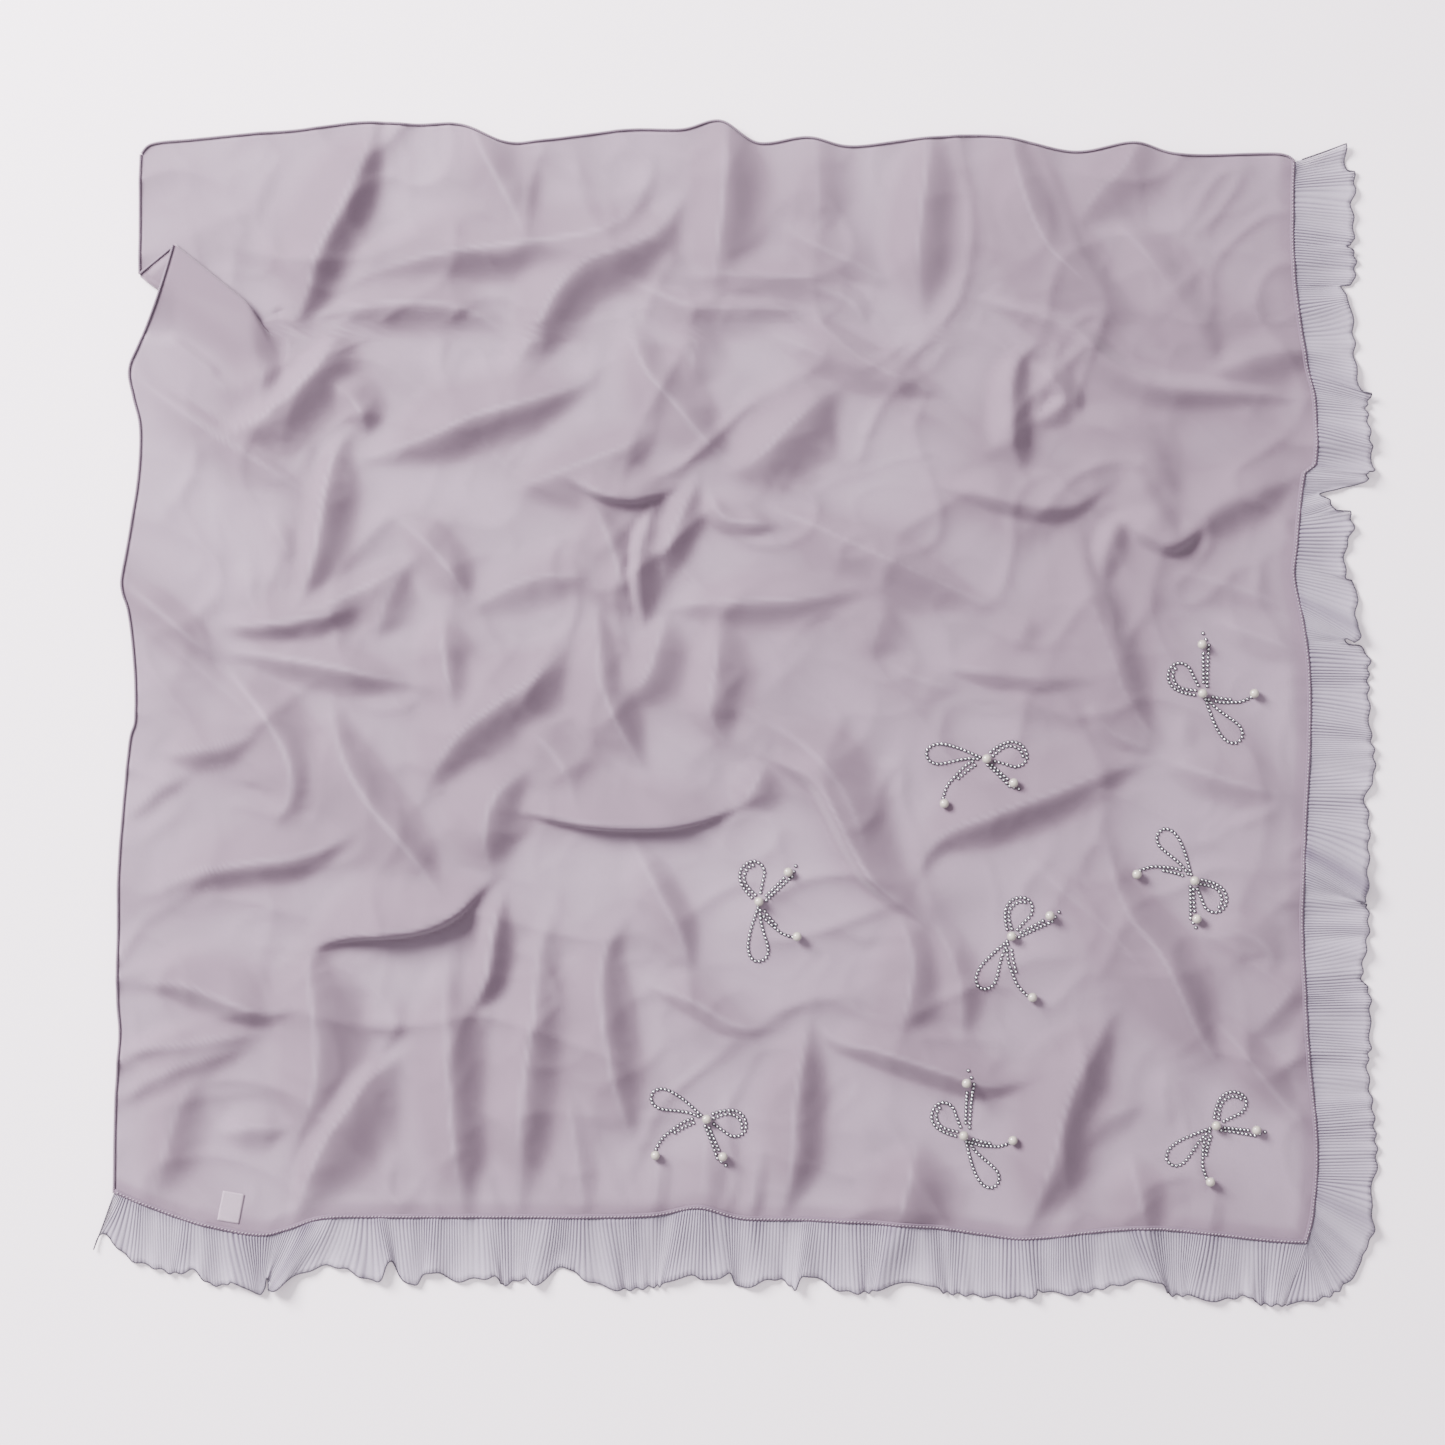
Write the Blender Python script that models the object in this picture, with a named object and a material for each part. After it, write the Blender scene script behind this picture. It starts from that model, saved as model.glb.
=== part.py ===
import math

import bmesh
import bpy
from mathutils import Vector
from mathutils.bvhtree import BVHTree

# Sizes in millimetres unless a name says otherwise
MM = 0.001
WALL = 1.4
SEAM_GAP = 0.3
SEAM_FOLD_WIDTH = 4.0
SEAM_FOLD_WALL = 1.0
HEM_RADIUS = 1.1
HEM_SIDES = 6
FRILL_WALL = 1.1
FRILL_WAVES_RIGHT = 27
FRILL_WAVES_BOTTOM = 27
FRILL_WAVE_HEIGHT = 4.5
FRILL_WAVE_DRIFT = 0.9
FRILL_DRIFT_RATE = 0.31
FRILL_RISE_POWER = 1.3
FRILL_CORNER_GAP = 0.45
FRILL_COLUMNS = 108
FRILL_ROWS = 3
PEARL_RADIUS = 4.0
SEAT_RINGS = (0.0, 0.4, 0.8)
SEAT_TURNS = 8
SEAT_RAY_HEIGHT = 80.0
LABEL_WIDTH = 20.0
LABEL_LENGTH = 27.0
LABEL_WALL = 0.8
LABEL_CENTRE = (-463.0, -448.0)
LABEL_TURN_DEG = -10.0
LABEL_BED_RADIUS = 43.2
COLUMNS = 44
ROWS_ABOVE = 7
ROWS_BELOW = 35
REST_LEVEL = 2.5
FOLD_POWER = 1.5
FOLD_TAPER = 0.22
FOLD_END_SHARE = 0.15
SPINE_STEPS = 14
FINE_STEPS = 400

# Outline of the laid cloth, seen from above: left to right, or top to bottom
TOP_EDGE = [
    (-546, 512), (-500, 523), (-450, 527), (-400, 532), (-345, 541), (-295, 539), (-253, 539), (-212, 523),
    (-170, 525), (-100, 534), (-50, 534), (-15, 542), (20, 522), (65, 527), (106, 519), (170, 526), (238, 528),
    (310, 514), (365, 522), (410, 511), (495, 512), (513, 505),
]
RIGHT_SEAM = [
    (513, 505), (513, 410), (524, 328), (533, 285), (533, 227), (524, 222), (515, 145), (514, 122), (522, 82),
    (528, 30), (528, -31), (522, -153), (522, -213), (526, -300), (535, -400), (531, -460), (524, -488),
]
BOTTOM_SEAM = [
    (-571, -442), (-540, -455), (-497, -470), (-440, -481), (-414, -477), (-378, -466), (-320, -465),
    (-200, -465), (-140, -465), (-74, -463), (-34, -456), (5, -466), (73, -468), (175, -474), (227, -481),
    (267, -485), (322, -479), (371, -475), (425, -479), (487, -486), (524, -488),
]
LEFT_UPPER = [(-546, 512), (-547, 460), (-547, 404)]
LEFT_LOWER = [
    (-515, 428), (-528, 386), (-548, 338), (-557, 314), (-553, 289), (-547, 261), (-549, 214), (-558, 155),
    (-563, 124), (-562, 109), (-557, 91), (-552, 42), (-551, -6), (-557, -31), (-565, -122), (-567, -183),
    (-568, -275), (-564, -286), (-570, -368), (-571, -442),
]
# Flap at the upper left: the cloth doubles back between these two fold lines
FLAP_LOW_LINE = [(-547, 402), (-533, 391), (-480, 372), (-419, 351)]
FLAP_HIGH_LINE = [(-515, 428), (-478, 397), (-453, 379), (-419, 351)]
FLAP_END_X = -419.0
FLAP_SEAM_POINT = (521.0, 345.0)
# Name, row offset past the flap's end, height over the floor within the flap
FLAP_ROWS = [
    ("upper end", 22, 0.0), ("low bend", 15, 2.3), ("middle start", 8, 4.6),
    ("middle end", -8, 5.4), ("high bend", -15, 8.0), ("lower start", -22, 10.6),
]
FLAP_BEND_REACH = 2.2
FLAP_FALL_LENGTH = 85.0
FLAP_FALL_DELAY = 0.6
FLAP_LINE_FADE = 60.0
FLAP_HEIGHT_FADE = 45.0
FLAP_FOLD_START = 340.0
FLAP_FOLD_FADE = 40.0
FLAP_HEM_PIECES = 3
PANEL_DROP = 850.0
# Frill: outer edge seen from above, from the top of the right side, and from the bottom's left end
FRILL_RIGHT_EDGE = [
    (562, 521), (568, 500), (566, 460), (568, 420), (564, 392), (569, 350), (572, 312), (579, 272), (584, 236),
    (560, 208), (547, 196), (565, 175), (561, 130), (564, 105), (560, 66), (582, 50), (586, 0), (580, -60),
    (583, -100), (573, -165), (580, -200), (575, -245), (582, -300), (583, -340), (586, -390), (589, -414),
    (584, -450), (584, -476), (575, -505), (559, -527), (538, -539),
]
FRILL_BOTTOM_EDGE = [
    (-589, -490), (-562, -503), (-509, -518), (-480, -524), (-440, -534), (-420, -520), (-360, -520),
    (-300, -526), (-250, -520), (-175, -525), (-114, -530), (-60, -518), (0, -524), (60, -520), (100, -532),
    (136, -534), (190, -532), (250, -537), (310, -535), (360, -521), (400, -533), (440, -541), (500, -545),
    (538, -539),
]
# The largest folds: name, height, reach on the lit side, reach on the shaded side, lean of the crest,
# then the ridge line with the shaded side on its right hand
FOLDS = [
    ("long upper ridge", 22, 46, 26, 3, (-420, 330), (-396, 385), (-387, 420), (-362, 470), (-333, 560)),
    ("top ridge", 12, 60, 30, 0, (-188, 425), (-212, 475), (-248, 560)),
    ("upper sweep", 15, 40, 26, 0, (-385, 385), (-310, 412), (-180, 432), (-90, 470), (-76, 515)),
    ("upper wave", 21, 26, 36, 3, (-222, 290), (-190, 345), (-140, 416), (-70, 447), (-38, 492)),
    ("top middle ridge", 14, 30, 34, 0, (-24, 370), (-17, 430), (-12, 475), (-8, 570)),
    ("top right ridge", 14, 30, 36, 0, (172, 345), (166, 400), (168, 450), (178, 560)),
    ("right diagonal", 17, 62, 28, 0, (382, 355), (325, 392), (287, 425), (265, 470), (246, 560)),
    ("right diagonal two", 11, 40, 26, 0, (442, 300), (424, 350), (400, 385), (372, 425), (338, 458)),
    ("top corner ridge", 10, 35, 38, 0, (308, 440), (330, 475), (355, 500), (380, 545)),
    ("seam ridge upper", 10, 18, 26, 0, (425, 305), (480, 327), (545, 332)),
    ("seam ridge lower", 14, 16, 22, 0, (205, 386), (300, 358), (345, 322), (385, 303), (440, 297), (535, 288)),
    ("short upright", 15, 18, 20, 0, (268, 208), (253, 250), (250, 290), (257, 322), (276, 342)),
    ("right bow", 9, 55, 24, 0, (402, 178), (392, 215), (372, 247), (335, 264), (285, 268)),
    ("right nose", 11, 22, 22, 0, (406, 150), (378, 195), (356, 238)),
    ("right lip", 14, 24, 18, 0, (178, 210), (235, 200), (275, 192), (310, 192), (348, 214)),
    ("seam diagonal", 12, 32, 26, 0, (400, 152), (430, 180), (460, 198), (525, 220)),
    ("middle slope", 13, 32, 26, 0, (6, 222), (-30, 250), (-58, 285), (-96, 345), (-98, 372)),
    ("middle ridge", 19, 28, 44, 2, (-20, 218), (12, 230), (40, 258), (70, 285), (104, 304)),
    ("middle crease", 11, 18, 18, 0, (62, 370), (85, 350), (110, 328), (150, 307), (205, 288)),
    ("left slope", 11, 36, 32, 0, (-215, 200), (-150, 225), (-105, 243), (-66, 266)),
    ("left lip", 16, 22, 18, 0, (-165, 219), (-115, 204), (-85, 202), (-48, 208)),
    ("upright lip", 20, 20, 18, 0, (-74, 202), (-82, 160), (-86, 120), (-85, 68)),
    ("upright slope", 12, 36, 20, 0, (-96, 72), (-106, 120), (-116, 155), (-136, 205)),
    ("upright slope two", 12, 18, 22, 0, (-68, 110), (-64, 150), (-52, 180), (-34, 220)),
    ("middle sweep", 14, 18, 30, 0, (15, 194), (70, 172), (125, 147), (195, 116), (250, 92)),
    ("middle lip", 12, 22, 24, 0, (-80, 90), (-35, 102), (25, 104), (75, 108), (132, 116)),
    ("centre upright", 13, 20, 32, 0, (-2, -38), (-24, -5), (-20, 40), (-12, 98)),
    ("centre upright two", 12, 20, 30, 0, (-106, 0), (-82, 35), (-72, 65), (-62, 98)),
    ("left upright", 16, 28, 24, 0, (-80, -62), (-105, -20), (-122, 20), (-127, 60), (-129, 108)),
    ("long left ridge", 20, 36, 36, 3, (-298, -90), (-262, -25), (-225, 8), (-158, 62), (-146, 92)),
    ("left mound", 9, 26, 26, 0, (-255, 88), (-215, 112), (-175, 125), (-118, 126)),
    ("breaking ridge", 21, 36, 20, 3, (-220, -88), (-150, -95), (-90, -98), (-30, -94), (24, -78)),
    ("breaking ridge end", 10, 22, 26, 0, (2, -92), (15, -70), (28, -44)),
    ("long centre ridge", 21, 32, 20, 3, (20, -38), (70, -58), (92, -85), (112, -125), (135, -158), (185, -202)),
    ("long centre slope", 11, 22, 30, 0, (130, -158), (112, -95), (88, -55), (50, -22), (12, -4)),
    ("right long ridge", 17, 42, 26, 2, (155, -165), (185, -115), (235, -92), (300, -68), (350, -50), (395, -42)),
    ("right valley", 17, 62, 30, 2, (398, -40), (360, 5), (340, 55), (325, 95), (317, 130), (312, 186)),
    ("right crescent", 14, 20, 16, 0, (345, 190), (380, 165), (402, 158), (436, 176)),
    ("right groove", 11, 32, 18, 0, (180, 42), (240, 38), (290, 33), (342, 30)),
    ("lower right ridge", 15, 46, 28, 2, (462, -350), (405, -260), (385, -220), (345, -150), (338, -100)),
    ("lower right seam", 8, 36, 22, 0, (468, -302), (500, -265), (528, -228)),
    ("lower right band", 19, 42, 32, 2, (256, -500), (284, -420), (298, -365), (318, -315), (356, -262)),
    ("lower corner ridge", 9, 32, 22, 0, (382, -500), (368, -440), (360, -398)),
    ("lower middle lip", 13, 30, 18, 0, (68, -270), (90, -300), (135, -310), (190, -328), (290, -328)),
    ("lower middle hollow", 15, 38, 46, 0, (144, -490), (158, -430), (168, -390)),
    ("lower middle upright", 13, 42, 28, 0, (144, -310), (158, -260), (160, -220), (146, -180)),
    ("lower upright", 15, 36, 28, 2, (36, -480), (50, -410), (52, -360), (60, -310), (70, -268)),
    ("lower left upright", 17, 36, 28, 2, (-90, -412), (-112, -350), (-127, -250), (-118, -210), (-92, -178)),
    ("lower left band", 17, 26, 34, 2, (-202, -480), (-198, -350), (-188, -280), (-182, -220), (-166, -170)),
    ("lower slope", 9, 26, 18, 0, (-92, -246), (-40, -265), (0, -287), (42, -290)),
    ("lower slope two", 10, 26, 18, 0, (-40, -254), (-52, -205), (-72, -165), (-102, -108)),
    ("left edge crease", 9, 22, 18, 0, (-455, 50), (-490, 60), (-520, 85), (-578, 132)),
    ("left crease", 13, 22, 20, 2, (-482, 79), (-420, 84), (-370, 92), (-336, 100)),
    ("left bend", 16, 46, 30, 2, (-438, -116), (-412, -80), (-414, -45), (-432, -10), (-455, 22), (-478, 54)),
    ("left shelf", 12, 18, 21, 0, (-480, 58), (-405, 50), (-345, 38), (-275, 22)),
    ("left dimple", 9, 26, 24, 0, (-334, 62), (-322, 100), (-302, 138)),
    ("left diagonal", 10, 24, 20, 0, (-242, 90), (-262, 128), (-282, 152), (-318, 184)),
    ("left spindle", 13, 26, 22, 0, (-262, -16), (-266, 35), (-270, 75), (-266, 100)),
    ("left long diagonal", 17, 42, 27, 2, (-260, -182), (-300, -132), (-335, -92), (-360, -50), (-368, 28)),
    ("left low sweep", 13, 42, 21, 2, (-556, -178), (-500, -148), (-450, -137), (-400, -130), (-338, -92)),
    ("left low dash", 10, 26, 18, 0, (-535, -40), (-480, -32), (-434, -18)),
    ("great lip", 27, 42, 22, 3, (-404, -222), (-350, -198), (-300, -192), (-262, -180), (-214, -146)),
    ("great lip rise", 16, 32, 36, 2, (-224, -160), (-233, -115), (-225, -80), (-182, -48)),
    ("left edge sweep", 13, 36, 18, 2, (-565, -250), (-510, -248), (-470, -262), (-430, -275), (-392, -268)),
    ("left edge band", 10, 18, 20, 0, (-572, -311), (-510, -305), (-465, -298), (-424, -294)),
    ("low corner slope", 9, 32, 28, 0, (-540, -460), (-522, -395), (-508, -355), (-486, -324)),
    ("low left valley", 19, 36, 44, 2, (-418, -415), (-393, -360), (-388, -310), (-393, -225), (-370, -200)),
    ("low left crest", 17, 20, 44, 0, (-412, -480), (-385, -408), (-360, -368), (-335, -335), (-290, -300)),
    ("low left upright", 21, 36, 32, 2, (-248, -490), (-262, -390), (-268, -260), (-264, -205)),
    ("low left oval", 15, 18, 20, 0, (-250, -285), (-232, -245), (-226, -205), (-213, -160)),
    ("upper left shelf", 13, 26, 24, 2, (-395, 362), (-340, 374), (-300, 378), (-250, 372), (-206, 346)),
    ("upper left crest", 19, 20, 36, 2, (-492, 246), (-425, 278), (-400, 303), (-380, 325), (-345, 374)),
    ("left fin", 16, 18, 30, 2, (-418, 84), (-400, 108), (-390, 140), (-377, 215), (-366, 245), (-345, 268)),
    ("left hook", 12, 18, 22, 0, (-342, 250), (-345, 275), (-358, 292), (-378, 304)),
    ("upper left sweep", 18, 36, 30, 3, (-352, 225), (-330, 237), (-280, 256), (-185, 290), (-128, 330)),
    ("left fin foot", 10, 18, 24, 0, (-418, 90), (-380, 98), (-350, 110), (-320, 126), (-282, 148)),
    ("flap crease", 9, 34, 18, 0, (-382, 192), (-430, 224), (-470, 250), (-500, 271), (-560, 312)),
]
# Pearls of the eight bows: knot, then the two at the tails' ends
PEARLS = [
    ("bow a", (230, -43), (191, -84), (254, -65)), ("bow b", (428, 17), (428, 62), (476, 17)),
    ("bow c", (21, -174), (48, -147), (56, -206)), ("bow d", (253, -206), (288, -187), (272, -262)),
    ("bow e", (421, -155), (368, -149), (423, -190)), ("bow f", (-27, -374), (-74, -407), (-12, -408)),
    ("bow g", (209, -389), (211, -340), (254, -393)), ("bow h", (441, -380), (478, -384), (435, -431)),
]


def clear_scene():
    for item in list(bpy.data.objects):
        bpy.data.objects.remove(item, do_unlink=True)


def smooth_step(value):
    limited = min(1.0, max(0.0, value))
    return limited * limited * (3.0 - 2.0 * limited)


def resample(points, count):
    lengths = [0.0]
    for first, second in zip(points, points[1:]):
        lengths.append(lengths[-1] + math.dist(first, second))
    found = []
    segment = 0
    for step in range(count + 1):
        target = lengths[-1] * step / count
        while segment < len(points) - 2 and lengths[segment + 1] < target:
            segment += 1
        span = lengths[segment + 1] - lengths[segment]
        share = (target - lengths[segment]) / span
        before = points[max(segment - 1, 0)]
        start = points[segment]
        end = points[segment + 1]
        after = points[min(segment + 2, len(points) - 1)]
        found.append(tuple(curve_value(before[i], start[i], end[i], after[i], share) for i in range(2)))
    return found


def curve_value(before, start, end, after, share):
    slope_in = (end - before) * 0.5
    slope_out = (after - start) * 0.5
    square = share * share
    cube = square * share
    near = (2 * cube - 3 * square + 1) * start + (cube - 2 * square + share) * slope_in
    return near + (3 * square - 2 * cube) * end + (cube - square) * slope_out


def line_height(points, x):
    for first, second in zip(points, points[1:]):
        if x <= second[0]:
            share = (x - first[0]) / (second[0] - first[0])
            return first[1] + (second[1] - first[1]) * max(0.0, share)
    return points[-1][1]


def prepare_folds():
    prepared = []
    for name, height, lit, shaded, lean, *ridge in FOLDS:
        spine = resample(ridge, SPINE_STEPS)
        prepared.append((height, lit, shaded, lean, spine))
    return prepared


def fold_share(x, y, lit, shaded, spine):
    nearest = None
    for step, (start, end) in enumerate(zip(spine, spine[1:])):
        along = (end[0] - start[0], end[1] - start[1])
        length = math.hypot(*along)
        offset = (x - start[0], y - start[1])
        share = (offset[0] * along[0] + offset[1] * along[1]) / length ** 2
        share = min(1.0, max(0.0, share))
        foot = (offset[0] - along[0] * share, offset[1] - along[1] * share)
        distance = math.hypot(*foot)
        if nearest is None or distance < nearest[0]:
            side = along[0] * offset[1] - along[1] * offset[0]
            right = (along[1] / length, -along[0] / length)
            nearest = (distance, side, (step + share) / SPINE_STEPS, right)
    distance, side, place, right = nearest
    reach = lit if side > 0 else shaded
    if distance >= reach:
        return 0.0, right
    profile = 0.5 + 0.5 * math.cos(math.pi * distance / reach)
    taper = smooth_step(place / FOLD_TAPER) * smooth_step((1.0 - place) / FOLD_TAPER)
    return profile * (FOLD_END_SHARE + (1.0 - FOLD_END_SHARE) * taper), right


def folded(x, y, folds):
    total = 0.0
    shift = [0.0, 0.0]
    for height, lit, shaded, lean, spine in folds:
        margin = max(lit, shaded)
        if not min(p[0] for p in spine) - margin < x < max(p[0] for p in spine) + margin:
            continue
        if not min(p[1] for p in spine) - margin < y < max(p[1] for p in spine) + margin:
            continue
        share, right = fold_share(x, y, lit, shaded, spine)
        total += (height * share) ** FOLD_POWER
        shift[0] += right[0] * lean * share
        shift[1] += right[1] * lean * share
    rise = total ** (1.0 / FOLD_POWER)
    level = max(0.0, rise - REST_LEVEL)
    bed = math.dist((x, y), LABEL_CENTRE) / LABEL_BED_RADIUS
    return level * smooth_step(bed * 2.0 - 1.0), shift


def patch_row(left, right, first_line, last_line, share, columns):
    # One row of a patch between two lines, with its ends on the side edges
    row = []
    for column in range(len(columns)):
        across = columns[column]
        first = first_line[column]
        last = last_line[column]
        mixed = [first[i] + (last[i] - first[i]) * share for i in range(2)]
        for i in range(2):
            left_off = left[i] - (first_line[0][i] + (last_line[0][i] - first_line[0][i]) * share)
            right_off = right[i] - (first_line[-1][i] + (last_line[-1][i] - first_line[-1][i]) * share)
            mixed[i] += (1.0 - across) * left_off + across * right_off
        row.append(mixed)
    return row


def column_shares():
    width = RIGHT_SEAM[0][0] - TOP_EDGE[0][0]
    shares = [column / COLUMNS for column in range(COLUMNS)]
    return shares + [1.0 - SEAM_FOLD_WIDTH / width, 1.0]


def sample_line(points, shares):
    fine = resample(points, FINE_STEPS)
    return [fine[round(share * FINE_STEPS)] for share in shares]


def flap_line(kind, offset, columns):
    # A row of the flap: doubled back left of the flap's end, an even band to the right of it
    low = kind in ("upper end", "low bend", "middle start")
    start = FLAP_LOW_LINE[0] if low else FLAP_HIGH_LINE[0]
    line = FLAP_LOW_LINE if low else FLAP_HIGH_LINE
    bend = {"low bend": -FLAP_BEND_REACH, "high bend": FLAP_BEND_REACH}.get(kind, 0.0)
    row = []
    for across in columns:
        x = start[0] + (FLAP_SEAM_POINT[0] - start[0]) * across
        inside = smooth_step((FLAP_END_X - x) / FLAP_LINE_FADE)
        folded_y = line_height(line, min(x, FLAP_END_X)) + bend
        past = max(0.0, (x - FLAP_END_X) / (FLAP_SEAM_POINT[0] - FLAP_END_X))
        band_y = FLAP_HIGH_LINE[-1][1] + (FLAP_SEAM_POINT[1] - FLAP_HIGH_LINE[-1][1]) * past + offset
        row.append((x, folded_y * inside + band_y * (1.0 - inside)))
    return row


def panel_rows(columns, folds):
    # Rows from the top edge to the bottom seam, each a list of points with heights
    right_edge = resample(RIGHT_SEAM, FINE_STEPS)
    rows = []
    top = sample_line(TOP_EDGE, columns)
    flap = [flap_line(kind, offset, columns) for kind, offset, rise in FLAP_ROWS]
    flap = [fit_right(row, right_edge) for row in flap]
    left_top = resample(LEFT_UPPER, ROWS_ABOVE)
    upper_right = right_run(right_edge, top[-1][1], flap[0][-1][1], ROWS_ABOVE)
    for step in range(ROWS_ABOVE):
        row = patch_row(left_top[step], upper_right[step], top, flap[0], step / ROWS_ABOVE, columns)
        rows.append([(x, y, 0.0) for x, y in row])
    for (kind, offset, rise), line in zip(FLAP_ROWS, flap):
        rows.append([(x, y, rise * smooth_step((FLAP_END_X - x) / FLAP_HEIGHT_FADE)) for x, y in line])
    bottom = sample_line(BOTTOM_SEAM, columns)
    shares = [step / ROWS_BELOW for step in range(1, ROWS_BELOW)]
    shares += [1.0 - SEAM_FOLD_WIDTH / PANEL_DROP, 1.0]
    left_fine = resample(LEFT_LOWER, FINE_STEPS)
    for share in shares:
        y_right = flap[-1][-1][1] + (bottom[-1][1] - flap[-1][-1][1]) * share
        right = edge_at(right_edge, y_right)
        row = patch_row(left_fine[round(share * FINE_STEPS)], right, flap[-1], bottom, share, columns)
        placed = []
        for x, y in row:
            drop = (line_height(FLAP_HIGH_LINE, x) - y) / FLAP_FALL_LENGTH
            carried = FLAP_ROWS[-1][2] * smooth_step((FLAP_END_X - x) / FLAP_HEIGHT_FADE)
            fallen = smooth_step(drop * (1.0 + FLAP_FALL_DELAY) - FLAP_FALL_DELAY)
            placed.append((x, y, carried * (1.0 - fallen)))
        rows.append(placed)
    return [[lift(point, folds) for point in row] for row in rows]


def lift(point, folds):
    x, y, base = point
    rise, shift = folded(x, y, folds)
    if base > 0.0:
        rise = rise * smooth_step((FLAP_FOLD_START - y) / FLAP_FOLD_FADE)
        shift = (0.0, 0.0)
    return (x + shift[0], y + shift[1], base + rise)


def fit_right(row, right_edge):
    x_end, y_end = edge_at(right_edge, row[-1][1])
    start = row[0][0]
    scale = (x_end - start) / (row[-1][0] - start)
    return [(start + (x - start) * scale, y) for x, y in row]


def edge_at(edge, y):
    return min(edge, key=lambda point: abs(point[1] - y))


def right_run(edge, y_start, y_end, count):
    return [edge_at(edge, y_start + (y_end - y_start) * step / count) for step in range(count + 1)]


def normals_of(rows):
    height = len(rows)
    width = len(rows[0])
    found = []
    for j in range(height):
        line = []
        for i in range(width):
            left = Vector(rows[j][max(i - 1, 0)])
            right = Vector(rows[j][min(i + 1, width - 1)])
            above = Vector(rows[max(j - 1, 0)][i])
            below = Vector(rows[min(j + 1, height - 1)][i])
            normal = (right - left).cross(above - below)
            if i in (0, width - 1) or j in (0, height - 1):
                normal = Vector((0.0, 0.0, 1.0 if normal.z >= 0.0 else -1.0))
            line.append(normal.normalized())
        found.append(line)
    upward = sum(normal.z for line in found for normal in line)
    return found if upward > 0.0 else [[-normal for normal in line] for line in found]


def shell_object(name, rows, wall, normals, material):
    # A closed sheet: the rows below, the same rows moved out by the wall above, and a rim
    mesh = bpy.data.meshes.new(name)
    shape = bmesh.new()
    lower = [[shape.verts.new(Vector(p) * MM) for p in row] for row in rows]
    upper = []
    for row, directions in zip(rows, normals):
        upper.append([shape.verts.new((Vector(p) + n * wall) * MM) for p, n in zip(row, directions)])
    height = len(rows)
    width = len(rows[0])
    for j in range(height - 1):
        for i in range(width - 1):
            corners = (lower[j][i], lower[j][i + 1], lower[j + 1][i + 1], lower[j + 1][i])
            over = (upper[j][i], upper[j][i + 1], upper[j + 1][i + 1], upper[j + 1][i])
            shape.faces.new((corners[0], corners[1], corners[2]))
            shape.faces.new((corners[0], corners[2], corners[3]))
            shape.faces.new((over[2], over[1], over[0]))
            shape.faces.new((over[3], over[2], over[0]))
    rim = [(0, i) for i in range(width)]
    rim += [(j, width - 1) for j in range(1, height)]
    rim += [(height - 1, i) for i in range(width - 2, -1, -1)]
    rim += [(j, 0) for j in range(height - 2, 0, -1)]
    for first, second in zip(rim, rim[1:] + rim[:1]):
        a, b = lower[first[0]][first[1]], lower[second[0]][second[1]]
        c, d = upper[second[0]][second[1]], upper[first[0]][first[1]]
        shape.faces.new((b, a, d))
        shape.faces.new((b, d, c))
    bmesh.ops.recalc_face_normals(shape, faces=shape.faces)
    shape.to_mesh(mesh)
    shape.free()
    return add_object(name, mesh, material)


def tube_object(name, path, radius, material):
    # A closed round bead along a path
    mesh = bpy.data.meshes.new(name)
    shape = bmesh.new()
    rings = []
    for index, point in enumerate(path):
        before = Vector(path[max(index - 1, 0)])
        after = Vector(path[min(index + 1, len(path) - 1)])
        along = (after - before).normalized()
        side = along.cross(Vector((0.0, 0.0, 1.0))).normalized()
        up = side.cross(along)
        ring = []
        for corner in range(HEM_SIDES):
            angle = 2.0 * math.pi * (corner + 0.5) / HEM_SIDES
            spot = Vector(point) + side * math.cos(angle) * radius + up * math.sin(angle) * radius
            ring.append(shape.verts.new(spot * MM))
        rings.append(ring)
    for first, second in zip(rings, rings[1:]):
        for corner in range(HEM_SIDES):
            follow = (corner + 1) % HEM_SIDES
            shape.faces.new((first[corner], first[follow], second[follow], second[corner]))
    shape.faces.new(rings[0])
    shape.faces.new(rings[-1])
    bmesh.ops.recalc_face_normals(shape, faces=shape.faces)
    shape.to_mesh(mesh)
    shape.free()
    return add_object(name, mesh, material)


def add_object(name, mesh, material):
    item = bpy.data.objects.new(name, mesh)
    item.data.materials.append(material)
    COLLECTION.objects.link(item)
    return item


def make_material(name, colour, roughness):
    material = bpy.data.materials.new(name)
    material.use_nodes = True
    shader = material.node_tree.nodes["Principled BSDF"]
    shader.inputs["Base Color"].default_value = (*colour, 1.0)
    shader.inputs["Roughness"].default_value = roughness
    return material


def frill_rows(inner, outer, waves, out_direction):
    # Rows from the seam to the wavy outer edge
    edge = resample(outer, len(inner) - 1)
    rows = []
    for step in range(FRILL_ROWS + 1):
        share = step / FRILL_ROWS
        row = []
        for index, start in enumerate(inner):
            end = edge[index]
            phase = 2.0 * math.pi * waves * index / (len(inner) - 1)
            swing = math.sin(phase + FRILL_WAVE_DRIFT * math.sin(phase * FRILL_DRIFT_RATE)) * 0.5 + 0.5
            lifted = FRILL_WAVE_HEIGHT * swing * share ** FRILL_RISE_POWER
            x = start[0] + out_direction[0] * SEAM_GAP
            y = start[1] + out_direction[1] * SEAM_GAP
            spot_x = x + (end[0] - x) * share
            spot_y = y + (end[1] - y) * share
            row.append((spot_x, spot_y, start[2] * (1.0 - smooth_step(share)) + lifted))
        rows.append(row)
    return rows


def refine(points, count):
    # Points added evenly within each piece of a broken line, so that it keeps its corners
    per_piece = max(1, round(count / (len(points) - 1)))
    found = []
    for first, second in zip(points, points[1:]):
        for step in range(per_piece):
            share = step / per_piece
            found.append(tuple(first[i] + (second[i] - first[i]) * share for i in range(3)))
    return found + [points[-1]]


def strip_rows(first_line, second_line, wall):
    lift_up = wall + SEAM_GAP
    return [[(x, y, z + lift_up) for x, y, z in line] for line in (first_line, second_line)]


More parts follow.
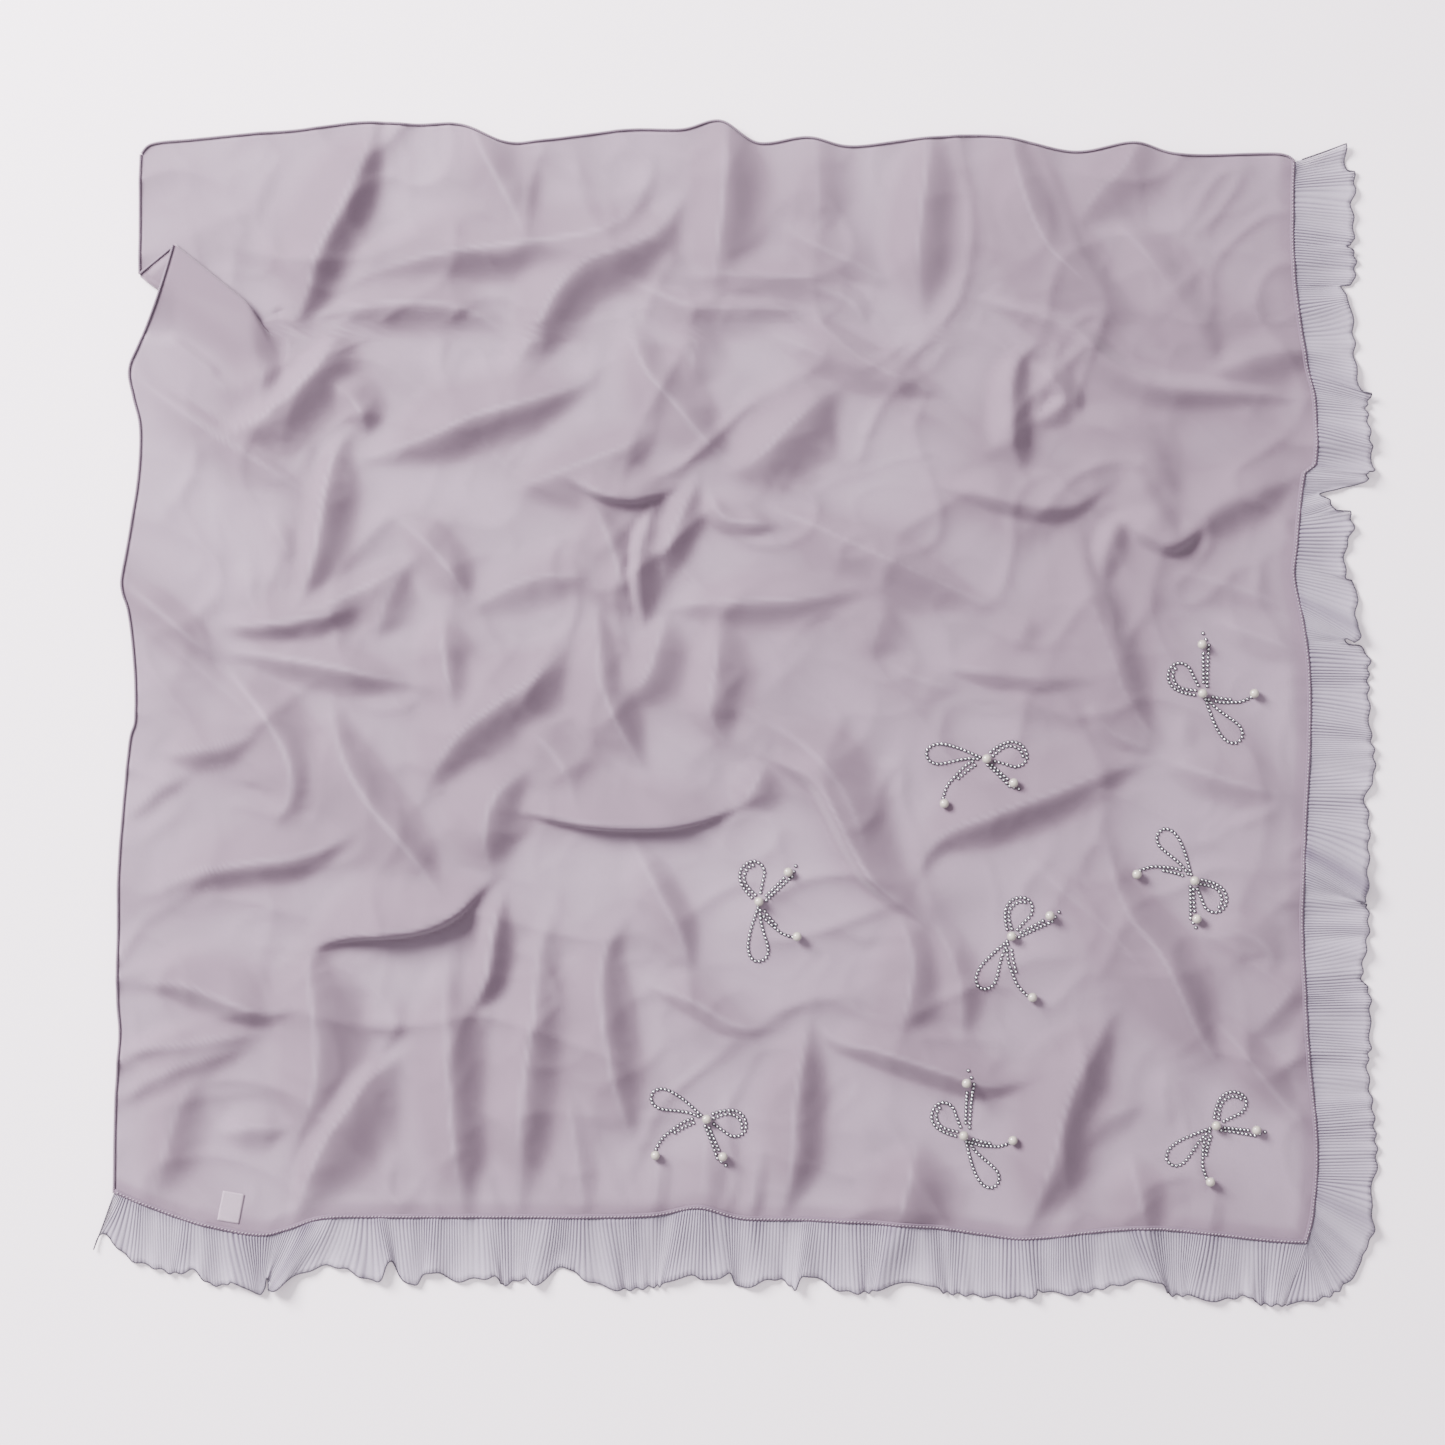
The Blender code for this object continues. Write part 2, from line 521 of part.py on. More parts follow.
def seat_height(tree, x, y, radius):
    highest = 0.0
    for ring in SEAT_RINGS:
        for turn in range(SEAT_TURNS):
            angle = 2.0 * math.pi * turn / SEAT_TURNS
            spot_x = x + radius * ring * math.cos(angle)
            spot_y = y + radius * ring * math.sin(angle)
            spot = Vector((spot_x, spot_y, SEAT_RAY_HEIGHT))
            hit = tree.ray_cast(spot * MM, Vector((0.0, 0.0, -1.0)))[0]
            if hit is None:
                continue
            clear = math.sqrt((radius + SEAM_GAP) ** 2 - (radius * ring) ** 2)
            highest = max(highest, hit.z / MM + clear)
    return highest


clear_scene()
COLLECTION = bpy.data.collections.new("square_scarf")
bpy.context.scene.collection.children.link(COLLECTION)

chiffon = make_material("mauve chiffon", (0.52, 0.44, 0.50), 0.75)
hem_thread = make_material("mauve hem thread", (0.24, 0.18, 0.22), 0.8)
frill_cloth = make_material("grey lilac crinkle", (0.42, 0.38, 0.43), 0.7)
seam_cloth = make_material("stitched seam fold", (0.30, 0.25, 0.30), 0.8)
label_cloth = make_material("white woven tab", (0.72, 0.68, 0.71), 0.7)
pearl_shell = make_material("cream pearl", (0.85, 0.80, 0.74), 0.2)

# Panel
folds = prepare_folds()
columns = column_shares()
rows = panel_rows(columns, folds)
panel_normals = normals_of(rows)
panel = shell_object("panel", rows, WALL, panel_normals, chiffon)
tree = BVHTree.FromPolygons(
    [vertex.co for vertex in panel.data.vertices],
    [tuple(face.vertices) for face in panel.data.polygons],
)

# Frill, one strip to each of the two seams, which meet at the corner
right_line = [row[-1] for row in rows]
bottom_line = rows[-1]
right_inner = refine(right_line, FRILL_COLUMNS)
frill_right_rows = frill_rows(right_inner, FRILL_RIGHT_EDGE, FRILL_WAVES_RIGHT, (1.0, 0.0))
shell_object("frill_right", frill_right_rows, FRILL_WALL, normals_of(frill_right_rows), frill_cloth)
bottom_inner = refine(bottom_line, FRILL_COLUMNS)
frill_bottom_rows = frill_rows(bottom_inner, FRILL_BOTTOM_EDGE, FRILL_WAVES_BOTTOM, (0.0, -1.0))
for row in frill_bottom_rows:
    x, y, z = row[-1]
    row[-1] = (x - FRILL_CORNER_GAP, y - SEAM_GAP, z)
shell_object("frill_bottom", frill_bottom_rows, FRILL_WALL, normals_of(frill_bottom_rows), frill_cloth)

# Turned and stitched edge of the panel over the frill
seam_right = strip_rows([row[-2] for row in rows[:-1]], [row[-1] for row in rows[:-1]], WALL)
shell_object("seam_fold_right", seam_right, SEAM_FOLD_WALL, normals_of(seam_right), seam_cloth)
seam_bottom = strip_rows(rows[-2][:-2], rows[-1][:-2], WALL)
shell_object("seam_fold_bottom", seam_bottom, SEAM_FOLD_WALL, normals_of(seam_bottom), seam_cloth)

# Rolled hems
hem_off = HEM_RADIUS + SEAM_GAP
top_path = [(x, y + hem_off, z + HEM_RADIUS) for x, y, z in rows[0]]
tube_object("rolled_hem_top", top_path, HEM_RADIUS, hem_thread)
left_points = [(row[0][0] - hem_off, row[0][1], row[0][2] + HEM_RADIUS) for row in rows]
flap_start = ROWS_ABOVE
flap_end = ROWS_ABOVE + len(FLAP_ROWS)
tube_object("rolled_hem_left_upper", left_points[:flap_start + 1], HEM_RADIUS, hem_thread)
middle_path = refine(left_points[flap_start + 2:flap_start + 4], FLAP_HEM_PIECES)
tube_object("rolled_hem_left_middle", middle_path, HEM_RADIUS, hem_thread)
tube_object("rolled_hem_left_lower", left_points[flap_end - 1:], HEM_RADIUS, hem_thread)

# Care label, bare, on the panel beside the bottom seam
turn = math.radians(LABEL_TURN_DEG)
label_rows = []
for along in (0.5, -0.5):
    line = []
    for across in (-0.5, 0.5):
        dx = across * LABEL_WIDTH
        dy = along * LABEL_LENGTH
        x = LABEL_CENTRE[0] + dx * math.cos(turn) - dy * math.sin(turn)
        y = LABEL_CENTRE[1] + dx * math.sin(turn) + dy * math.cos(turn)
        line.append((x, y, WALL + SEAM_GAP))
    label_rows.append(line)
shell_object("care_label", label_rows, LABEL_WALL, normals_of(label_rows), label_cloth)

# Pearls
number = 0
for bow, *spots in PEARLS:
    for x, y in spots:
        number += 1
        centre = Vector((x, y, seat_height(tree, x, y, PEARL_RADIUS)))
        bpy.ops.mesh.primitive_ico_sphere_add(subdivisions=2, radius=PEARL_RADIUS * MM, location=centre * MM)
        pearl = bpy.context.object
        pearl.name = f"pearl_{number:02d}"
        pearl.data.name = pearl.name
        pearl.data.materials.append(pearl_shell)
        for holder in list(pearl.users_collection):
            holder.objects.unlink(pearl)
        COLLECTION.objects.link(pearl)
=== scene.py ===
# Square chiffon scarf with a crinkled frill and pearl bows, laid crumpled on a pale floor
import math

import bmesh
import bpy
import numpy as np
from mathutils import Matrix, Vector, noise
from mathutils.bvhtree import BVHTree


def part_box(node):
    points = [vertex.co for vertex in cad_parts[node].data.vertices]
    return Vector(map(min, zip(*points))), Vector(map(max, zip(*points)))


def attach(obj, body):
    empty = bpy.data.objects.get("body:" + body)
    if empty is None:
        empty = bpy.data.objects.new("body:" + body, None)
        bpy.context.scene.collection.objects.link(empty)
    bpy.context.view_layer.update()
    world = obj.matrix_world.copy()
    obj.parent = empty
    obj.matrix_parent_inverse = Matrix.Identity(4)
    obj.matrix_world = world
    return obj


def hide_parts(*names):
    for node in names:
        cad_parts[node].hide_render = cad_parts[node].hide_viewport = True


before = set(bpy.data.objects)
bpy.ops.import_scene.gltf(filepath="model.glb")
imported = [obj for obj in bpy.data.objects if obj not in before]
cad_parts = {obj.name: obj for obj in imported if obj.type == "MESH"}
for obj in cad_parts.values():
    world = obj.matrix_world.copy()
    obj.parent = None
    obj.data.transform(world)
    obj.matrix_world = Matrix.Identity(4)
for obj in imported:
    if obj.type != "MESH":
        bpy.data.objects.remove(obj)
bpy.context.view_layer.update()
print("frame loaded")

mm = 0.001

# The camera hangs straight over the scarf, as in the photo: one photo pixel is 0.92 mm on the floor
cameraValues = {"lens": 85.0, "sensor": 36.0, "viewWidth": 1.3294, "centre": (-0.0124, -0.0097)}


def setCamera(values):
    camera = bpy.data.cameras.new("camera")
    camera.lens = values["lens"]
    camera.sensor_width = values["sensor"]
    holder = bpy.data.objects.new("camera", camera)
    height = values["viewWidth"] * values["lens"] / values["sensor"]
    holder.location = (*values["centre"], height)
    camera.clip_end = 40.0
    bpy.context.scene.collection.objects.link(holder)
    bpy.context.scene.camera = holder


setCamera(cameraValues)

# Outline of the laid cloth in millimetres, seen from above: left to right, or top to bottom
outline = {
    "top": [
        (-546, 512), (-536, 521), (-500, 525), (-450, 530), (-400, 534), (-345, 541), (-295, 539),
        (-253, 539), (-212, 523), (-170, 525), (-100, 534), (-50, 534), (-15, 542), (20, 522),
        (65, 527), (106, 519), (170, 526),
        (238, 528), (310, 514), (365, 522), (410, 511), (495, 512), (513, 505),
    ],
    "rightSeam": [
        (513, 505), (513, 410), (524, 328), (533, 285), (533, 227), (524, 222), (515, 145), (514, 122),
        (522, 82), (528, 30), (528, -31), (522, -153), (522, -213), (526, -300), (535, -400), (531, -460),
        (524, -488),
    ],
    "bottomSeam": [
        (-571, -442), (-540, -455), (-497, -470), (-440, -481), (-414, -477), (-378, -466), (-320, -465),
        (-200, -465), (-140, -465), (-74, -463), (-34, -456), (5, -466), (73, -468), (175, -474),
        (227, -481), (267, -485), (322, -479), (371, -475), (425, -479), (487, -486), (524, -488),
    ],
    "leftUpper": [(-546, 512), (-547, 460), (-547, 404)],
    "leftLower": [
        (-515, 428), (-528, 386), (-548, 338), (-557, 314), (-553, 289), (-547, 261), (-549, 214),
        (-558, 155), (-563, 124), (-562, 109), (-557, 91), (-552, 42), (-551, -6), (-557, -31),
        (-565, -122), (-567, -183), (-568, -262), (-566, -300), (-570, -368), (-571, -442),
    ],
}
# Flap at the upper left: the cloth doubles back between these two fold lines
flapLines = {
    "low": [(-547, 402), (-533, 391), (-480, 372), (-419, 351)],
    "high": [(-515, 428), (-490, 408), (-453, 378), (-419, 351)],
}
# Line that the row follows, bend past that line, row offset past the flap's end, height within the flap
flapRows = [
    ("low", 0.0, 22, 0.0), ("low", -2.2, 15, 2.3), ("low", 0.0, 8, 4.6),
    ("high", 0.0, -8, 5.4), ("high", 2.2, -15, 8.0), ("high", 0.0, -22, 10.6),
]
panelValues = {
    "columns": 283, "rowsAbove": 44, "rowsBetween": 3, "rowsBelow": 221, "wall": 0.35, "underStep": 2,
    "underMost": 14.0, "turnedMost": 1.5, "underFloor": 0.02, "restHeight": 1.6, "taperShare": 0.4,
    "taperReach": 0.3, "taperHeight": 0.08, "crestRound": 1.6, "footCurve": 1.35, "crestFall": 0.72,
    "footRound": 2.4, "swellShift": 0.85, "lipReach": 11.0, "lipSpread": 9.0, "fullHeight": 15.0,
    "reachGain": 1.34, "tallFrom": 14.0, "tallShare": 0.5, "crestWidth": 2.4, "footPlace": 0.82,
    "footWidth": 0.2, "leanCurve": 1.4, "foldGain": 1.0, "foldPower": 1.6, "toe": 2.2, "flapEnd": -414.0,
    "flapFall": 85.0, "flapFallDelay": 0.6, "flapLineFade": 36.0, "flapHeightFade": 32.0,
    "flapFoldStart": 340.0, "flapFoldFade": 40.0, "smoothPasses": 1, "smoothShare": 0.3,
    "seamMiddle": (521.0, 345.0), "spineSteps": 22, "edgeSteps": 600, "cut": 1.15,
}
# The folds: name, height, reach on the lit side, reach on the shaded side, lean of the crest,
# then the ridge line with its shaded side on the right hand, all in millimetres
folds = [
    ("long upper ridge", 22, 46, 26, 3, (-420, 330), (-396, 385), (-387, 420), (-362, 470),
     (-341, 515), (-330, 560)),
    ("top ridge", 12, 60, 30, 0, (-188, 425), (-212, 475), (-238, 525), (-248, 560)),
    ("upper sweep", 15, 40, 26, 0, (-385, 385), (-310, 412), (-250, 424), (-180, 432), (-120, 445),
     (-90, 470), (-76, 515)),
    ("upper wave", 21, 26, 36, 4, (-222, 290), (-190, 345), (-168, 390), (-140, 416), (-105, 428),
     (-70, 447), (-38, 492)),
    ("top middle ridge", 14, 30, 34, 0, (-24, 370), (-17, 430), (-12, 475), (-10, 515), (-8, 570)),
    ("upper centre crease 1", 7, 30, 32, 0, (76, 425), (74, 480), (73, 525), (73, 560)),
    ("top right ridge", 14, 30, 36, 0, (172, 345), (166, 400), (168, 450), (174, 500), (178, 560)),
    ("right diagonal", 17, 62, 28, 0, (382, 355), (325, 392), (287, 425), (265, 470), (252, 520),
     (246, 560)),
    ("right diagonal two", 11, 40, 26, 0, (442, 300), (424, 350), (400, 385), (372, 425), (338, 458)),
    ("top corner ridge", 10, 35, 38, 0, (308, 440), (330, 475), (355, 500), (380, 545)),
    ("seam ridge upper", 10, 18, 26, 0, (425, 305), (480, 327), (515, 331), (545, 332)),
    ("seam ridge lower", 14, 9, 22, 2, (205, 386), (300, 358), (345, 322), (385, 303), (440, 297),
     (535, 288)),
    ("short upright", 15, 16, 17, 0, (268, 208), (253, 250), (250, 290), (257, 322), (276, 342)),
    ("right bow", 9, 55, 22, 0, (402, 178), (392, 215), (372, 247), (335, 264), (285, 268)),
    ("right nose", 11, 22, 20, 0, (406, 150), (378, 195), (356, 238)),
    ("right lip", 14, 24, 12, 3, (178, 210), (235, 200), (275, 192), (310, 192), (348, 214)),
    ("seam diagonal", 12, 32, 26, 0, (400, 152), (430, 180), (460, 198), (525, 220)),
    ("upper right crease 1", 12, 8, 14, 0, (266, 262), (295, 280), (300, 290), (285, 310), (268, 318)),
    ("upper centre crease 2", 7, 22, 26, 0, (-60, 400), (0, 402), (60, 400), (118, 402)),
    ("upper centre crease 3", 8, 8, 24, 0, (-115, 404), (-70, 384), (-35, 373), (20, 373), (80, 366)),
    ("upper centre crease 4", 6, 26, 13, 0, (35, 452), (70, 430), (110, 412), (150, 388)),
    ("upper centre crease 5", 6, 14, 11, 0, (122, 345), (110, 372), (86, 386), (58, 390)),
    ("middle slope", 13, 32, 26, 0, (6, 222), (-30, 250), (-58, 285), (-82, 312), (-96, 345), (-98, 372)),
    ("upper centre crease 6", 6, 28, 26, 0, (-48, 288), (-38, 330), (-30, 368)),
    ("upper centre crease 7", 6, 20, 14, 0, (15, 355), (70, 332), (120, 308), (175, 288)),
    ("middle ridge", 19, 28, 44, 3, (-20, 218), (12, 230), (40, 258), (70, 285), (104, 304)),
    ("middle crease", 11, 14, 14, 0, (62, 370), (85, 350), (110, 328), (150, 307), (205, 288)),
    ("left slope", 11, 36, 32, 0, (-215, 200), (-150, 225), (-105, 243), (-66, 266)),
    ("left lip", 16, 20, 9, 6, (-165, 219), (-115, 204), (-85, 202), (-48, 208)),
    ("upright lip", 20, 15, 9, 5, (-74, 202), (-82, 160), (-86, 120), (-85, 68)),
    ("upright slope", 12, 36, 20, 0, (-96, 72), (-106, 120), (-116, 155), (-136, 205)),
    ("upright slope two", 12, 14, 20, 0, (-68, 110), (-64, 150), (-52, 180), (-34, 220)),
    ("upper centre crease 8", 9, 14, 9, 0, (-27, 210), (-15, 182), (5, 174), (48, 172)),
    ("middle sweep", 14, 15, 30, 0, (15, 194), (70, 172), (125, 147), (195, 116), (250, 92)),
    ("middle lip", 12, 22, 24, 2, (-80, 90), (-35, 102), (25, 104), (75, 108), (132, 116)),
    ("centre upright", 13, 20, 32, 0, (-2, -38), (-24, -5), (-20, 40), (-12, 98)),
    ("centre upright two", 12, 20, 30, 0, (-106, 0), (-82, 35), (-72, 65), (-62, 98)),
    ("left upright", 16, 28, 24, 0, (-80, -62), (-105, -20), (-122, 20), (-127, 60), (-129, 108)),
    ("long left ridge", 20, 36, 36, 4, (-298, -90), (-262, -25), (-225, 8), (-185, 35), (-158, 62),
     (-146, 92)),
    ("left mound", 9, 26, 26, 0, (-255, 88), (-215, 112), (-175, 125), (-118, 126)),
    ("middle centre crease 1", 8, 30, 30, 0, (-146, -92), (-158, -55), (-175, -30), (-208, -5)),
    ("breaking ridge", 21, 36, 9, 8, (-220, -88), (-150, -95), (-90, -98), (-30, -94), (24, -78)),
    ("breaking ridge end", 10, 22, 26, 0, (2, -92), (15, -70), (28, -44)),
    ("long centre ridge", 21, 32, 12, 6, (20, -38), (70, -58), (92, -85), (112, -125), (135, -158),
     (185, -202)),
    ("long centre slope", 11, 22, 30, 0, (130, -158), (112, -95), (88, -55), (50, -22), (12, -4)),
    ("middle centre crease 2", 6, 26, 26, 0, (120, 42), (128, 75), (140, 108)),
    ("middle centre crease 3", 5, 18, 16, 0, (130, 52), (165, 32), (215, 18)),
    ("right long ridge", 17, 42, 26, 2, (155, -165), (185, -115), (235, -92), (300, -68), (350, -50),
     (395, -42)),
    ("middle right crease 1", 8, 26, 19, 0, (380, -38), (420, -52), (460, -65), (515, -78)),
    ("right valley", 17, 62, 30, 2, (398, -40), (360, 5), (340, 55), (325, 95), (317, 130), (312, 186)),
    ("middle right crease 2", 9, 10, 20, 0, (338, 108), (338, 145), (350, 172), (376, 184)),
    ("right crescent", 14, 20, 10, 4, (345, 190), (380, 165), (402, 158), (436, 176)),
    ("middle right crease 3", 5, 26, 20, 0, (392, 132), (450, 118), (520, 92)),
    ("middle right crease 4", 5, 22, 15, 0, (430, 88), (480, 70), (530, 50)),
    ("right groove", 11, 32, 13, 2, (180, 42), (240, 38), (290, 33), (342, 30)),
    ("middle right crease 5", 7, 26, 9, 0, (320, 24), (332, -5), (350, -22), (396, -38)),
    ("middle right crease 6", 7, 26, 22, 0, (252, 52), (262, 75), (272, 94)),
    ("middle right crease 7", 3, 12, 12, 0, (408, -45), (412, 5)),
    ("lower right ridge", 15, 46, 28, 2, (462, -350), (425, -300), (405, -260), (385, -220),
     (360, -190), (345, -150), (338, -100)),
    ("lower right crease 1", 6, 20, 13, 0, (402, -295), (372, -240), (335, -195), (290, -155), (252, -112)),
    ("lower right crease 2", 8, 16, 16, 0, (535, -395), (490, -345), (455, -300), (424, -268)),
    ("lower right seam", 8, 36, 20, 0, (468, -302), (500, -265), (528, -228)),
    ("lower right crease 3", 6, 32, 20, 0, (478, -250), (490, -222), (462, -202), (420, -212)),
    ("lower right band", 19, 42, 32, 3, (256, -500), (284, -420), (298, -365), (318, -315), (356, -262)),
    ("lower right crease 4", 6, 20, 20, 0, (314, -408), (340, -372), (382, -358)),
    ("lower corner ridge", 9, 32, 22, 0, (382, -500), (368, -440), (360, -398)),
    ("lower right crease 5", 4, 15, 14, 0, (398, -392), (392, -350), (396, -318)),
    ("lower right crease 6", 4, 12, 10, 0, (434, -495), (437, -430)),
    ("lower middle lip", 13, 30, 14, 2, (68, -270), (90, -300), (135, -310), (190, -328), (240, -342),
     (290, -328)),
    ("lower middle hollow", 15, 38, 46, 0, (144, -490), (158, -430), (168, -390)),
    ("lower middle upright", 13, 42, 28, 0, (144, -310), (158, -260), (160, -220), (146, -180)),
    ("lower right crease 7", 8, 16, 20, 0, (206, -315), (206, -260), (195, -220), (176, -182)),
    ("lower upright", 15, 36, 28, 2, (36, -480), (50, -410), (52, -360), (60, -310), (70, -268)),
    ("lower centre crease 1", 6, 20, 9, 0, (12, -480), (18, -425), (24, -385)),
    ("lower centre crease 2", 8, 42, 32, 0, (-34, -480), (-28, -410), (-34, -368)),
    ("lower centre crease 3", 5, 20, 11, 0, (-80, -480), (-72, -425), (-66, -392)),
    ("lower left upright", 17, 36, 28, 2, (-90, -412), (-112, -350), (-122, -300), (-127, -250),
     (-118, -210), (-92, -178)),
    ("lower left band", 17, 26, 34, 2, (-202, -480), (-198, -350), (-188, -280), (-182, -220),
     (-166, -170)),
    ("lower centre crease 4", 7, 26, 15, 0, (-138, -480), (-148, -400), (-157, -335)),
    ("lower slope", 9, 26, 10, 0, (-92, -246), (-40, -265), (0, -287), (42, -290)),
    ("lower slope two", 10, 26, 17, 0, (-40, -254), (-52, -205), (-72, -165), (-102, -108)),
    ("left edge crease", 9, 22, 15, 0, (-455, 50), (-490, 60), (-520, 85), (-578, 132)),
    ("middle left crease 1", 4, 16, 8, 0, (-424, -26), (-465, 15), (-505, 50), (-560, 94)),
    ("left crease", 13, 22, 19, 2, (-482, 79), (-420, 84), (-370, 92), (-336, 100)),
    ("middle left crease 2", 5, 26, 18, 0, (-436, 84), (-448, 110), (-444, 142)),
    ("middle left crease 3", 4, 12, 10, 0, (-402, 130), (-415, 155), (-428, 182)),
    ("left bend", 16, 46, 30, 3, (-438, -116), (-412, -80), (-414, -45), (-432, -10), (-455, 22),
     (-478, 54)),
    ("left shelf", 12, 16, 21, 2, (-480, 58), (-405, 50), (-345, 38), (-275, 22)),
    ("left dimple", 9, 26, 24, 0, (-334, 62), (-322, 100), (-302, 138)),
    ("left diagonal", 10, 24, 20, 0, (-242, 90), (-262, 128), (-282, 152), (-318, 184)),
    ("left spindle", 13, 26, 22, 0, (-262, -16), (-266, 35), (-270, 75), (-266, 100)),
    ("left long diagonal", 17, 42, 27, 3, (-260, -182), (-300, -132), (-335, -92), (-360, -50),
     (-372, 0), (-368, 28)),
    ("left low sweep", 13, 42, 21, 2, (-556, -178), (-500, -148), (-450, -137), (-400, -130),
     (-360, -115), (-338, -92)),
    ("left low dash", 10, 26, 17, 0, (-535, -40), (-480, -32), (-434, -18)),
    ("middle left crease 4", 6, 20, 9, 0, (-570, -106), (-530, -70), (-488, -50)),
    ("great lip", 27, 42, 11, 10, (-404, -222), (-350, -198), (-300, -192), (-262, -180),
     (-235, -160), (-214, -146)),
    ("great lip rise", 16, 32, 36, 2, (-224, -160), (-233, -115), (-225, -80), (-205, -60), (-182, -48)),
    ("left edge sweep", 13, 36, 17, 2, (-565, -250), (-510, -248), (-470, -262), (-430, -275),
     (-392, -268)),
    ("left edge band", 10, 16, 19, 0, (-572, -311), (-510, -305), (-465, -298), (-424, -294)),
    ("lower left crease 1", 9, 14, 15, 0, (-575, -366), (-535, -335), (-500, -322), (-436, -304)),
    ("low corner slope", 9, 32, 28, 0, (-540, -460), (-522, -395), (-508, -355), (-486, -324)),
    ("lower left crease 2", 8, 20, 22, 0, (-482, -388), (-440, -380), (-404, -384)),
    ("low left valley", 19, 36, 44, 3, (-418, -415), (-393, -360), (-388, -310), (-392, -260),
     (-393, -225), (-370, -200)),
    ("low left crest", 17, 14, 44, 0, (-412, -480), (-385, -408), (-360, -368), (-335, -335), (-290, -300)),
    ("lower left crease 3", 5, 20, 16, 0, (-350, -280), (-290, -282)),
    ("low left upright", 21, 36, 32, 2, (-248, -490), (-262, -390), (-266, -320), (-268, -260),
     (-264, -205)),
    ("low left oval", 15, 14, 19, 2, (-250, -285), (-232, -245), (-226, -205), (-213, -160)),
    ("upper left shelf", 13, 26, 24, 2, (-395, 362), (-340, 374), (-300, 378), (-250, 372), (-206, 346)),
    ("upper left crest", 19, 14, 36, 2, (-492, 246), (-455, 262), (-425, 278), (-400, 303),
     (-380, 325), (-366, 350), (-345, 374)),
    ("left fin", 16, 12, 30, 2, (-418, 84), (-400, 108), (-390, 140), (-383, 180), (-377, 215),
     (-366, 245), (-345, 268)),
    ("left hook", 12, 14, 22, 0, (-342, 250), (-345, 275), (-358, 292), (-378, 304)),
    ("upper left sweep", 18, 36, 30, 3, (-352, 225), (-330, 237), (-280, 256), (-240, 275),
     (-185, 290), (-140, 305), (-128, 330)),
    ("left fin foot", 10, 16, 24, 0, (-418, 90), (-380, 98), (-350, 110), (-320, 126), (-282, 148)),
    ("flap crease", 9, 34, 9, 0, (-382, 192), (-430, 224), (-470, 250), (-500, 271), (-560, 312)),
    ("upper left crease 1", 8, 24, 20, 0, (-445, 262), (-436, 300), (-424, 335)),
]


def smoothStep(value):
    limited = np.clip(value, 0.0, 1.0)
    return limited * limited * (3.0 - 2.0 * limited)


def resample(points, count):
    # Even steps along a smooth curve through the points
    given = np.array(points, float)
    padded = np.vstack([given[0], given, given[-1]])
    share = np.linspace(0.0, 1.0, 16, endpoint=False)[:, None]
    pieces = []
    for k in range(len(given) - 1):
        before, start, end, after = padded[k:k + 4]
        slopeIn = (end - before) * 0.5
        slopeOut = (after - start) * 0.5
        cube = share ** 3
        square = share ** 2
        pieces.append(
            (2 * cube - 3 * square + 1) * start + (cube - 2 * square + share) * slopeIn
            + (3 * square - 2 * cube) * end + (cube - square) * slopeOut
        )
    fine = np.vstack(pieces + [given[-1:]])
    steps = np.linalg.norm(np.diff(fine[:, :2], axis=0), axis=1)
    travelled = np.concatenate([[0.0], np.cumsum(steps)])
    wanted = np.linspace(0.0, travelled[-1], count)
    return np.column_stack([np.interp(wanted, travelled, fine[:, i]) for i in range(fine.shape[1])])


